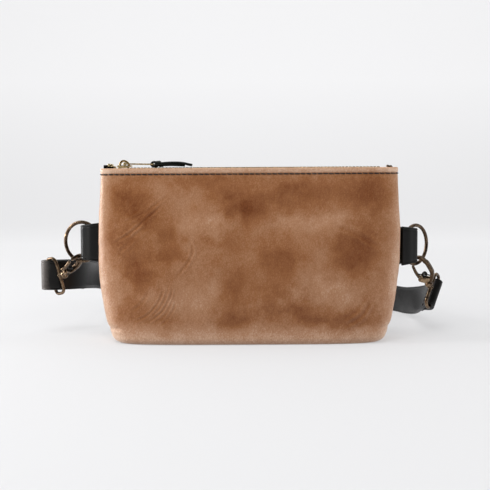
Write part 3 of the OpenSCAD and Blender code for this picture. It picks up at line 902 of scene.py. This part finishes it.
def rim_stitches(name, side, cad_node):
    """A run of stitches along the hem, from seam to seam."""
    line = outline(STITCH_Z, 0, side, 900)
    length = np.concatenate([[0], np.cumsum(np.linalg.norm(np.diff(line, axis=0), axis=1))])
    count = int((length[-1] - 3) / STITCH_PITCH)
    start = (length[-1] - count * STITCH_PITCH) / 2
    shape = Shape()
    for k in range(count):
        middle = start + (k + 0.5) * STITCH_PITCH
        s = middle + np.array([-1.62, -1.5, -1.1, 0, 1.1, 1.5, 1.62])
        rise = np.array([-0.75, -0.25, 0.12, 0.22, 0.12, -0.25, -0.75])
        points = np.stack([np.interp(s, length, line[:, c]) for c in range(3)], 1)
        outward = np.stack([np.interp(s, length, np.gradient(line[:, 1], length)),
                            -np.interp(s, length, np.gradient(line[:, 0], length)), 0 * s], 1)
        outward /= np.linalg.norm(outward, axis=1)[:, None]
        outward *= np.sign(outward[3] @ (points[3] * (1, 1, 0)))
        points = points + outward * (rise[:, None] - 0.12)
        points[:, 2] += np.linspace(-0.16, 0.16, 7)
        shape.tube(points, [0.3, 0.38, 0.42, 0.43, 0.42, 0.38, 0.3], sides=10)
    return shape.make(name, "pouch", "thread", ["thread"], [cad_node])


def make_pouch():
    panel("panel_front", -1, "pouch_leather")
    panel("panel_back", 1, "pouch_leather")
    rim_stitches("topstitch_front", -1, "stitching_front")
    rim_stitches("topstitch_back", 1, "stitching_back")


# ---- Zip -------------------------------------------------------------------------

TAPE_Z = POUCH_H - 0.7
TOOTH_Z = POUCH_H - 1.5
TOOTH_PITCH = 2.5
CHAIN_HALF = 97.0
PULL_DROP = math.radians(1)


def tape_lift(x):
    """The loose ends of the tape rise a little past the slider and past the last tooth."""
    slider_low = node_box("zip_slider")[0][0]
    return 3.1 * smooth((slider_low + 0.6 - x) / 5.5)


def zip_tape(name, side, cad_node):
    """Woven tape: a flange down inside the panel and a flat strip to the chain."""
    xs = np.linspace(-CHAIN_HALF - 6.5, CHAIN_HALF + 3, 170)
    profile = [
        (0.85, 0.0), (2.2, 0.12), (3.6, 0.05), (4.35, -0.35), (4.6, -1.4), (4.8, -5.0), (4.95, -9.6),
        (4.5, -9.6), (4.3, -5.0), (4.1, -1.6), (3.8, -0.75), (3.2, -0.55), (2.2, -0.5), (0.85, -0.6),
    ]
    points = []
    for x in xs:
        wave = 0.08 * math.sin(x * 0.5 + side)
        # Towards both ends the sewn flange runs out into the flat strip
        narrow = float(smooth((abs(x) - 80) / 8))
        for y, z in profile:
            lift = (tape_lift(x) + wave) * (1 if z > -1.5 else max(0, 1 + (z + 1.5) / 8))
            y = lerp(y, min(y, 2.9), narrow)
            z = lerp(z, max(z, -0.5), narrow)
            points.append((x, side * y, TAPE_Z + z + lift))
    faces = tube_faces(len(xs), len(profile))
    return Shape().add(points, faces).make(name, "pouch", "zip_tape", ["zip_tape"], [cad_node])


def zip_teeth(name, side, cad_node):
    """A row of cast teeth: legs clasping the tape's edge, and a head with a nib."""
    shift = TOOTH_PITCH / 2 if side > 0 else 0
    xs = np.arange(-CHAIN_HALF + 11, CHAIN_HALF - 4 + 0.01, TOOTH_PITCH) + shift
    shape = Shape()
    for x in xs:
        middle = TOOTH_Z + 1.1
        shape.block((x, side * 2.05, middle), (1.25, 1.3, 2.1), 0.3, segments=2)
        shape.block((x, side * 1.0, middle), (1.4, 1.1, 1.7), 0.4, segments=2)
        shape.block((x, side * 0.62, middle + 0.65), (0.8, 0.4, 0.7), 0.18, segments=2)
    return shape.make(name, "pouch", "zip_brass", ["zip_brass"], [cad_node])


def make_zip():
    for side, word in ((-1, "front"), (1, "back")):
        zip_tape("tape_" + word, side, "zip_tape_" + word)
        zip_teeth("teeth_" + word, side, "zip_teeth_" + word)
    stops = Shape()
    for x in (-CHAIN_HALF + 1.2, -CHAIN_HALF - 0.8, -CHAIN_HALF - 2.8):
        for side in (-1, 1):
            lift = float(tape_lift(x))
            stops.block((x, side * 1.7, TAPE_Z + lift), (1.5, 2.6, 2.1), 0.4)
    stops.make("stops_closed_end", "pouch", "zip_brass", ["zip_brass"], ["zip_top_stops"])
    lean = math.radians(20)
    axes = [(math.cos(lean), 0, -math.sin(lean)), (0, 1, 0), (math.sin(lean), 0, math.cos(lean))]
    low, high = node_box("zip_bottom_stop")
    end = Shape().block((low + high) / 2, (4.4, 5.2, 1.5), 0.45, axes, segments=4)
    end.block((low + high) / 2 + (0.9, 0, 0.25), (1.1, 4.8, 1.6), 0.35, axes)
    end.make("stop_far_end", "pouch", "zip_brass", ["antique_brass"], ["zip_bottom_stop"])


def make_slider():
    """Slider: shield-shaped plates, side walls, the web and an arched crown."""
    low, high = node_box("zip_slider")
    middle_x = (low[0] + high[0]) / 2
    half_l = (high[0] - low[0]) / 2
    roof = TOOTH_Z + 2.2 + 0.4
    floor = TOOTH_Z - 0.4
    x, y = np.array([1.0, 0, 0]), np.array([0, 1.0, 0])

    def shield(width, narrow):
        upper = [
            (-half_l, 0.62 * width), (-half_l + 0.8, 0.9 * width), (-0.3 * half_l, width),
            (0.35 * half_l, 0.92 * width), (half_l - 1.0, narrow), (half_l, 0.75 * narrow),
        ]
        return [(a, -b) for a, b in upper] + [(a, b) for a, b in reversed(upper)]

    shape = Shape()
    shape.plate(shield(4.2, 3.3), np.array([middle_x, 0, roof + 0.55]), x, y, 1.1, 0.35)
    shape.plate(shield(3.8, 3.1), np.array([middle_x, 0, floor - 0.55]), x, y, 1.1, 0.35)
    for side in (-1, 1):
        shape.block((middle_x - 0.6, side * 3.75, roof - 0.3), (2 * half_l - 3.4, 0.75, 1.3), 0.25)
        shape.block((middle_x - 0.6, side * 3.4, floor + 0.1), (2 * half_l - 3.4, 0.75, 0.7), 0.2)
    shape.block((low[0] + 1.3, 0, (roof + floor) / 2), (2.2, 0.4, roof - floor + 0.4), 0.1)
    # Crown: an arched strap over the pull's pin
    top = high[2] - 0.55
    base = roof + 0.9
    arch = spline(
        [(-3.5, 0, base), (-3.2, 0, base + 1.4), (-2.3, 0, top - 0.8), (-0.6, 0, top - 0.2),
         (1.3, 0, top - 0.9), (2.6, 0, base + 1.4), (3.1, 0, base)],
        6,
    ) + (middle_x, 0, 0)
    across = np.tile((0, 1.0, 0), (len(arch), 1))
    width = 1 + 0.25 * np.cos(np.linspace(0, 2 * math.pi, len(arch)))
    shape.sweep(arch, across, rounded_box_section(2.2, 1.5, 0.45), np.stack([width, width**0], 1))
    shape.make("slider", "slider", "zip_brass", ["zip_brass"], ["zip_slider"])


def pull_frame():
    """Pivot of the pull, its direction and the direction square to it, up."""
    along = np.array([math.cos(PULL_DROP), 0, -math.sin(PULL_DROP)])
    return joint_pos("pull_flip"), along, np.array([math.sin(PULL_DROP), 0, math.cos(PULL_DROP)])


def make_pull():
    pivot, along, up = pull_frame()
    side_dir = np.array([0, 1.0, 0])
    length = (node_box("pull_plate")[1][0] - pivot[0]) / math.cos(PULL_DROP)
    axes = [along, side_dir, up]
    shape = Shape()
    shape.lathe([(0.01, -2.35), (0.55, -2.3), (0.6, -2.1), (0.6, 2.1), (0.55, 2.3), (0.01, 2.35)],
                pivot, side_dir, 24)
    for side in (-1, 1):
        cheek = spline([(-0.9, 1.75), (-0.2, 1.8), (3.0, 1.85), (5.8, 1.7), (7.2, 1.5)], 5)
        line = [pivot + a * along + side * b * side_dir for a, b in cheek]
        shape.sweep(line, side_dir, rounded_box_section(0.95, 0.9, 0.3))
        shape.lathe([(0.01, -0.5), (0.8, -0.48), (1.0, -0.3), (1.0, 0.3), (0.8, 0.48), (0.01, 0.5)],
                    pivot + side * 1.8 * side_dir, side_dir, 24)
    # Flat plate, drawn as a frame round the slot
    slot_from, slot_to = length - 5.4, length - 1.2
    shape.block(pivot + (5.0 + slot_from) / 2 * along, (slot_from - 5.0, 4.4, 1.05), 0.35, axes)
    shape.block(pivot + 0.5 * (slot_to + length) * along, (length - slot_to, 4.4, 1.05), 0.42, axes)
    for side in (-1, 1):
        centre = pivot + 0.5 * (slot_from + length - 0.6) * along + side * 1.85 * side_dir
        shape.block(centre, (length - slot_from, 0.75, 1.05), 0.3, axes)
    shape.make("pull", "pull", "zip_brass", ["zip_brass"], ["pull_plate"])


def make_tail():
    """Leather tail: a loop through the slot, a knot, and two long layers that part."""
    tie = joint_pos("tail_swing")
    low, high = node_box("pull_tab")
    reach = high[0] - tie[0]
    band = rounded_box_section(1.0, 1.0, 0.28, 3)
    shape = Shape()

    def strip(points, widths, thick, hint=(0, 1, 0)):
        line = spline(np.asarray(points, float), 6) + tie
        factors = np.interp(np.linspace(0, 1, len(line)), np.linspace(0, 1, len(widths)), widths)
        scale = np.stack([factors, np.full(len(line), thick)], 1)
        shape.sweep(line, hint, band, scale)

    # Loop round the end bar of the pull, into the knot
    strip([(3.0, 0, 0.9), (1.0, 0, 1.6), (-0.7, 0, 1.2), (-1.4, 0, 0), (-0.7, 0, -1.15),
           (1.0, 0, -1.3), (3.2, 0, -0.3)], [4.0, 3.2, 3.0, 3.0, 3.2, 4.0], 1.6)
    # Knot: two turns laid across each other
    for lean, radius, shift in ((0.4, 2.2, 2.7), (-0.5, 2.0, 4.7)):
        turn = np.linspace(0, 2 * math.pi, 28, endpoint=False)
        ring = [
            tie + (
                shift + lean * radius * math.sin(a),
                1.35 * radius * math.cos(a),
                0.15 + 0.82 * radius * math.sin(a),
            )
            for a in turn
        ]
        section = rounded_box_section(3.0, 1.1, 0.4, 3)
        shape.sweep(ring, (1.0, 0, 0.05), section, closed=True)
    strip([(1.0, 0, 0.4), (3.5, 0, 0.7), (6.5, 0, 0.5)], [3.4, 4.4, 3.8], 1.9)
    # Upper layer arcs over the lower one and comes down past its end
    strip([(4.5, 0.2, 0.3), (8, 0.2, 0.75), (13, 0.2, 1.0), (18, 0.1, 0.95), (22, 0, 0.5),
           (reach - 1.5, 0, -0.2), (reach + 1.2, 0, -0.75)], [3.6, 5.0, 6.2, 6.4, 6.2, 5.6, 4.4], 1.9)
    strip([(4.5, -0.2, -0.55), (8, -0.2, -0.65), (13, -0.3, -0.55), (18, -0.3, -0.75), (22.5, -0.3, -0.95)],
          [3.4, 4.8, 5.8, 5.8, 4.6], 1.6)
    shape.make("tail", "tail", "black_leather", ["tail_leather"], ["pull_tab"])


# ---- Tabs, rings, eyes and hooks ---------------------------------------------------

TAB_T = 2.0
TAB_H = (28.2, 24.0)
TAB_GAP = {"left": 2.6, "right": 2.7}
TAB_L = {"left": 15.6, "right": 16.8}
TAB_YAW = {"left": 156.0, "right": 39.5}
RING_WIRE = 2.6
RING_R = 14.1
EYE_WIRE = 2.4
EYE_H = {"left": 8.9, "right": 8.2}
EYE_BEND = 4.2
BELT_W = 22.0
BELT_T = 2.2
EYE_HALF = BELT_W / 2 + 1.3 + EYE_WIRE / 2
CROWN_R = 3.8
ARM_T = 2.2
CROWN_MID = CROWN_R + ARM_T / 2
PIN = (-3.5, 5.6)


def make_tab(side):
    """Leather loop through the ring: both legs sewn into the side seam."""
    root = joint_pos(f"tab_{side}_sway")
    yaw = math.radians(TAB_YAW[side])
    forward = np.array([math.cos(yaw), math.sin(yaw), 0])
    leftward = np.array([-math.sin(yaw), math.cos(yaw), 0])
    middle = TAB_GAP[side] + TAB_T / 2
    straight = TAB_L[side] - TAB_GAP[side] - TAB_T
    plan = [(0.1, -2.1), (2.0, -2.7), (5.5, -middle), (straight * 0.75, -middle)]
    turn = np.radians(np.linspace(-90, 90, 13))
    plan += [(straight + middle * math.cos(a), middle * math.sin(a)) for a in turn]
    plan += [(straight * 0.75, middle), (5.5, middle), (2.0, 2.7), (0.1, 2.1)]
    flat = spline([(a, b, 0) for a, b in plan], 4)
    line = root + flat[:, :1] * forward + flat[:, 1:2] * leftward
    heights = lerp(TAB_H[0], TAB_H[1], np.clip(flat[:, 0] / TAB_L[side], 0, 1)) / BELT_W
    section = belt_section(BELT_W, TAB_T)
    scale = np.stack([heights, np.ones(len(line))], 1)
    shape = Shape().sweep(line, (0, 0, 1.0), section, scale)
    start = (root + 0.5 * forward) * MM
    end = (root + 6.5 * forward) * MM
    shape.make(f"tab_{side}_loop", None, "black_leather", ["black_leather"], [f"tab_{side}"],
               blend=("pouch", f"tab_{side}", start, end))


def make_ring(side):
    """Round ring of bent wire, butted and brazed at one place."""
    centre = joint_pos(f"ring_{side}_turn")
    normal = joint_axis(f"ring_{side}_turn")
    up = np.array([0, 0, 1.0])
    across = np.cross(up, normal)
    turn = np.linspace(0, 2 * math.pi, 120, endpoint=False)
    line = [centre + RING_R * (math.cos(a) * across + math.sin(a) * up) for a in turn]
    braze = 2.35 if side == "left" else 0.8
    radius = RING_WIRE / 2 * (1 - 0.07 * np.exp(-(((turn - braze) / 0.03) ** 2)))
    shape = Shape().tube(line, radius, 24, normal, closed=True)
    shape.make(f"ring_{side}_wire", f"ring_{side}", "antique_brass", ["antique_brass"], [f"ring_{side}"])


def make_eye(side):
    """Belt eye: a D of wire round the belt, and the swivel stem with its ball."""
    bar_middle = joint_pos(f"eye_{side}_turn")
    x = joint_axis(f"eye_{side}_turn")
    swivel = joint_pos(f"hook_{side}_swivel")
    z = joint_axis(f"hook_{side}_swivel")
    x = square_to(x, z)
    stem = np.linalg.norm(swivel - bar_middle)
    corner = 2.6
    flat = []
    for cx, cz, radius, start in (
        (EYE_HALF - corner, corner, corner, -90),
        (EYE_HALF - EYE_BEND, EYE_H[side] - EYE_BEND, EYE_BEND, 0),
        (-EYE_HALF + EYE_BEND, EYE_H[side] - EYE_BEND, EYE_BEND, 90),
        (-EYE_HALF + corner, corner, corner, 180),
    ):
        for a in np.radians(np.linspace(start, start + 90, 10)):
            flat.append((cx + radius * math.cos(a), cz + radius * math.sin(a)))
    for t in np.linspace(0, 1, 14)[1:-1]:
        flat.append((lerp(-EYE_HALF + corner, EYE_HALF - corner, t), 0))
    line = [bar_middle + a * x + b * z for a, b in flat]
    shape = Shape().tube(line, EYE_WIRE / 2, 20, np.cross(z, x), closed=True)
    top = EYE_H[side]
    profile = [
        (1.5, top - 0.9), (2.0, top - 0.4), (2.1, top + 0.4), (1.5, top + 1.0),
        (1.12, top + 1.3), (1.1, stem - 2.2), (1.5, stem - 1.4), (1.9, stem - 0.4),
        (1.9, stem + 0.4), (1.4, stem + 1.3), (0.01, stem + 1.8),
    ]
    shape.lathe(profile, bar_middle, z, 28)
    shape.make(f"eye_{side}_wire", f"eye_{side}", "antique_brass", ["antique_brass"], [f"eye_{side}"])


def hook_axes(side):
    """The hook's x, y and z, from the swivel, the gate's pin and the pin's direction."""
    y = joint_axis(f"gate_{side}_open")
    arm = joint_pos(f"gate_{side}_open") - joint_pos(f"hook_{side}_swivel")
    arm = arm - (arm @ y) * y
    turned = np.cross(y, arm)
    a, b = PIN
    x = unit(a * arm + b * turned)
    return x, y, np.cross(x, y)


def make_hook(side):
    """Snap hook: swivel barrel, fork, curved spine and crown, gate, pin and spring."""
    swivel = joint_pos(f"hook_{side}_swivel")
    stem = joint_axis(f"hook_{side}_swivel")
    x, y, z = hook_axes(side)
    grip = hook_grip(side)
    top = np.linalg.norm(grip - swivel) - 0.8

    def at(a, b, c=0.0):
        return swivel + a * x + c * y + b * z

    shape = Shape()
    # Barrel round the ball, its collar and its shoulder
    shape.lathe(
        [(1.45, -2.6), (2.1, -2.85), (2.5, -2.6), (2.6, -2.1), (2.3, -1.7), (2.7, -1.2),
         (2.95, -0.2), (2.85, 0.8), (2.5, 1.6), (1.9, 2.3), (1.0, 2.8), (0.01, 2.9)],
        swivel, stem, 36)
    # Spine and crown in one sweep, widest at the elbow and drawn to the nose
    spine = [at(0.4, 1.0), at(2.3, 2.2), at(4.6, 4.6), at(6.1, 7.6), at(6.5, 10.0), at(5.9, top - 1.6)]
    arc = [
        at(CROWN_MID * math.cos(a), top + CROWN_MID * math.sin(a))
        for a in np.radians(np.linspace(5, 168, 9))
    ]
    line = spline(spine + arc, 5)
    t = np.linspace(0, 1, len(line))
    wide = np.interp(t, [0, 0.15, 0.32, 0.5, 0.75, 0.97, 1], [1.2, 1.5, 1.6, 1.35, 1.0, 0.9, 0.6])
    deep = np.interp(t, [0, 0.15, 0.32, 0.5, 0.75, 0.97, 1], [1.3, 1.3, 1.3, 1.15, 1.0, 0.85, 0.6])
    section = rounded_box_section(2.6, ARM_T, 0.62, 5)
    shape.sweep(line, y, section, np.stack([wide, deep], 1))
    # Fork: two cheeks that carry the pin
    cheek = [
        (PIN[0] + 2.0 * math.cos(a), PIN[1] + 2.0 * math.sin(a))
        for a in np.radians(np.linspace(40, 230, 14))
    ]
    cheek += [(-2.4, 2.6), (-0.4, 1.8), (1.8, 2.6), (3.2, 4.2), (1.4, 5.4), (-0.8, 6.1)]
    for s in (-1, 1):
        shape.plate(cheek, swivel + s * 1.66 * y, x, z, 0.8, 0.28)
    shape.block(at(0.6, 2.6), (3.2, 3.4, 2.2), 0.9, [x, y, z], segments=4)
    shape.make(f"hook_{side}_body", f"hook_{side}", "antique_brass", ["antique_brass"], [f"hook_{side}"])
    make_gate(side, swivel, x, y, z, top)


def hook_grip(side):
    """The point of the ring's wire that the hook holds."""
    centre = joint_pos(f"ring_{side}_turn")
    normal = joint_axis(f"ring_{side}_turn")
    outward = square_to(np.cross(normal, (0, 0, 1.0)), normal)
    outward *= np.sign(outward @ (joint_pos(f"hook_{side}_swivel") - centre))
    angle = math.radians({"left": 22, "right": 18}[side])
    return centre + RING_R * (math.sin(angle) * outward - math.cos(angle) * np.array([0, 0, 1.0]))


def make_gate(side, swivel, x, y, z, top):
    def at(a, b, c=0.0):
        return swivel + a * x + c * y + b * z

    pin = at(*PIN)
    gate = Shape()
    gate.lathe([(0.7, -1.05), (1.2, -1.05), (1.4, -0.85), (1.4, 0.85), (1.2, 1.05), (0.7, 1.05)], pin, y, 28)
    arm = [
        at(PIN[0] - 0.1, PIN[1] + 0.6), at(-4.5, 7.6), at(-5.3, (PIN[1] + top) / 2),
        at(-5.25, top - 1.6), at(-4.9, top - 0.6),
    ]
    line = spline(arm, 6)
    t = np.linspace(0, 1, len(line))
    wide = np.interp(t, [0, 0.5, 0.9, 1], [1.0, 0.94, 0.9, 0.6])
    deep = np.interp(t, [0, 0.25, 0.5, 0.9, 1], [1.15, 1.45, 1.2, 1.0, 0.7])
    section = rounded_box_section(2.1, 1.7, 0.5, 4)
    gate.sweep(line, y, section, np.stack([wide, deep], 1))
    gate.make(f"gate_{side}_arm", f"gate_{side}", "antique_brass", ["antique_brass"], [f"gate_{side}"])
    rivet = Shape()
    profile = [(0.01, -2.75), (0.7, -2.7), (1.1, -2.45), (1.2, -2.1), (0.6, -2.08), (0.6, 2.08), (1.2, 2.1),
               (1.1, 2.45), (0.7, 2.7), (0.01, 2.75)]
    rivet.lathe(profile, pin, y, 28)
    rivet.make(f"gate_pin_{side}_rivet", f"hook_{side}", "antique_brass", ["antique_brass"],
               [f"gate_pin_{side}"])
    spring = Shape()
    turn = np.linspace(0, 2 * math.pi * 3.25, 90)
    coil = [
        at(0.1 + 1.65 * math.cos(a), 8.1 + 1.65 * math.sin(a), lerp(-1.25, 1.25, a / turn[-1]))
        for a in turn
    ]
    leg_in = [at(-4.4, 10.4, -0.9), at(-2.4, 9.7, -1.1)]
    leg_out = [at(1.9, 6.7, 1.2), at(4.0, 5.6, 1.1)]
    spring.tube(spline(leg_in + coil + leg_out, 2), 0.42, 10, y)
    spring.make(f"gate_spring_{side}_coil", f"hook_{side}", "spring_steel", ["spring_steel"],
                [f"gate_spring_{side}"])


# ---- Belt --------------------------------------------------------------------------

LEFT_ROUTE = [
    (-127.9, 52.6, 41.4), (-129.9, 42.4, 42.9), (-135.6, 35.4, 44.0), (-143, 31.2, 44.3),
    (-149.8, 29.9, 44.4), (-153, 28.8, 44.4), (-154.1, 26.2, 44.4), (-153, 23.5, 44.4),
    (-149.8, 22.4, 44.4), (-142, 23.6, 44.3), (-133.6, 29.6, 44.0), (-127.2, 40, 43.2),
    (-124.7, 56, 41.5), (-124.6, 78, 38.9), (-125, 100, 36.1), (-124, 126, 32.2),
    (-118, 156, 25.4), (-106, 184, 19.8), (-91, 203, 16.6), (-75, 210, 15.5),
    (-55, 210, 15.5), (-15, 210, 15.5), (24, 210, 15.5),
]
RIGHT_ROUTE_TAIL = [
    (134.6, 44, 24.2), (134.4, 62, 20), (133, 84, 16), (129.8, 108, 12.8),
    (124.8, 132, 11.3), (109, 163, 11.5), (85, 190, 13.2), (62, 206, 15),
    (44, 212.4, 15.5), (26, 213.2, 15.5), (-20, 213.2, 15.5), (-70, 213.2, 15.5),
]
WRAP_R = EYE_WIRE / 2 + 0.3 + BELT_T / 2
UPRIGHT_FROM, UPRIGHT_TO = 34.0, 105.0
STUD_X = -30.0
HOLE_PITCH = 12.0


def right_frame():
    """The right bar's middle and direction, the way the belt leaves it, and its side."""
    middle = joint_pos("eye_right_turn")
    bar = joint_axis("eye_right_turn")
    away = square_to((-0.04, 0.92, -0.4), bar)
    return middle, bar, away, np.cross(bar, away)


def right_route():
    middle, bar, away, outer = right_frame()
    head = [np.array(p) - 1.15 * BELT_T * outer for p in ((134.4, 55, 23.0), (134.6, 46, 24.6))]
    bend = [
        middle + WRAP_R * (math.cos(a) * away - math.sin(a) * outer)
        for a in np.radians(np.arange(90, 271, 30))
    ]
    before = middle - WRAP_R * outer + 5 * away
    after = middle + WRAP_R * outer + 5 * away
    return head + [before] + bend + [after] + [np.array(p) for p in RIGHT_ROUTE_TAIL]


def cut_holes(strap):
    """Punches the belt's adjustment holes through its tongue."""
    holes = Shape()
    for k in range(1, 5):
        holes.lathe([(1.8, 0), (1.8, 8)], (STUD_X + HOLE_PITCH * k, 209.2, 15.5), (0, 1, 0), 32)
    mesh = bpy.data.meshes.new("punch")
    mesh.from_pydata((np.asarray(holes.points) * MM).tolist(), [], holes.faces)
    punch = bpy.data.objects.new("punch", mesh)
    scene.collection.objects.link(punch)
    cut = strap.modifiers.new("holes", "BOOLEAN")
    cut.operation = "DIFFERENCE"
    cut.object = punch
    cut.solver = "EXACT"
    cut_mesh = bpy.data.meshes.new_from_object(strap.evaluated_get(bpy.context.evaluated_depsgraph_get()))
    strap.modifiers.clear()
    strap.data = cut_mesh
    bpy.data.objects.remove(punch)


def make_belt():
    section = belt_section(BELT_W, BELT_T)
    left = spline(LEFT_ROUTE, 8)
    upright = np.tile((0, 0, 1.0), (len(left), 1))
    shape = Shape().sweep(left, upright, section)
    # Painted highlight: a paler band round the fold stands for light glancing off the bend
    points = np.array(shape.points)
    paler = np.exp(-(((points[:, 0] - left[:, 0].min() - 1.0) / 5.5) ** 2))
    shape.make("belt_left", "pouch", "black_leather", ["black_leather"], ["strap_left"], tone=paler)
    right = spline(right_route(), 8)
    _, bar, _, _ = right_frame()
    lean = smooth((right[:, 1] - UPRIGHT_FROM) / (UPRIGHT_TO - UPRIGHT_FROM))[:, None]
    across = lerp(bar[None], np.array([[0, 0, 1.0]]), lean)
    strap = Shape().sweep(right, across, section).make(
        "belt_right", "pouch", "black_leather", ["black_leather"], ["strap_right"])
    cut_holes(strap)
    make_flap_stitches()
    stud = Shape().lathe(
        [(0.01, 207.6), (3.2, 207.6), (3.8, 207.9), (3.9, 208.4), (3.4, 208.85), (1.6, 209.0),
         (1.45, 210), (1.4, 214.2), (1.7, 214.9), (2.4, 215.6), (2.9, 216.7), (3.0, 217.8),
         (2.7, 219.1), (1.8, 220.1), (0.01, 220.6)],
        (STUD_X, 0, 15.5), (0, 1, 0), 40)
    stud.make("stud", "pouch", "antique_brass", ["antique_brass"], ["strap_stud"])
    make_keeper()


def make_flap_stitches():
    """The stitches that hold each folded end of the belt."""
    middle, bar, away, outer = right_frame()
    places = {
        "left": (np.array([-126.1, 47.3, 42]), unit((0.93, -0.37, 0)), np.array([0, 0, 1.0]),
                 BELT_T / 2 + 0.1),
        "right": (middle + WRAP_R * outer + 9 * away, outer, bar, BELT_T / 2 + 0.25),
    }
    for side, (origin, z, x, height) in places.items():
        x = square_to(x, z)
        shape = Shape()
        for u in np.arange(-7.5, 7.6, 3):
            s = np.array([-1.2, -1.0, -0.6, 0, 0.6, 1.0, 1.2])
            rise = np.array([-0.5, -0.1, 0.15, 0.22, 0.15, -0.1, -0.5])
            points = [origin + (u + a) * x + (height + b) * z for a, b in zip(s, rise)]
            shape.tube(points, 0.36, 10, z)
        shape.make(f"flap_stitches_{side}", "pouch", "thread", ["thread"], [f"strap_stitching_{side}"])


def make_keeper():
    """Leather keeper: a flat loop round both layers."""
    low, high = node_box("keeper_loop")
    middle = (low + high) / 2
    half_y, half_z = (high[1] - low[1]) / 2 - 0.8, (high[2] - low[2]) / 2 - 0.8
    corner = 2.2
    line = []
    for sy, sz, start in ((1, 1, 0), (-1, 1, 90), (-1, -1, 180), (1, -1, 270)):
        for a in np.radians(np.linspace(start, start + 90, 8)):
            line.append(middle + (0, sy * (half_y - corner) + corner * math.cos(a),
                                  sz * (half_z - corner) + corner * math.sin(a)))
    section = rounded_box_section(high[0] - low[0], 1.5, 0.55, 5)
    shape = Shape().sweep(line, (1.0, 0, 0), section, closed=True)
    shape.make("keeper", "keeper", "black_leather", ["black_leather"], ["keeper_loop"])


# ---- The scene ---------------------------------------------------------------------

scene.view_settings.view_transform = "Standard"
make_camera()
make_lights()
make_stage()
make_pouch()
make_zip()
make_slider()
make_pull()
make_tail()
for side_name in SIDES:
    make_tab(side_name)
    make_ring(side_name)
    make_eye(side_name)
    make_hook(side_name)
make_belt()
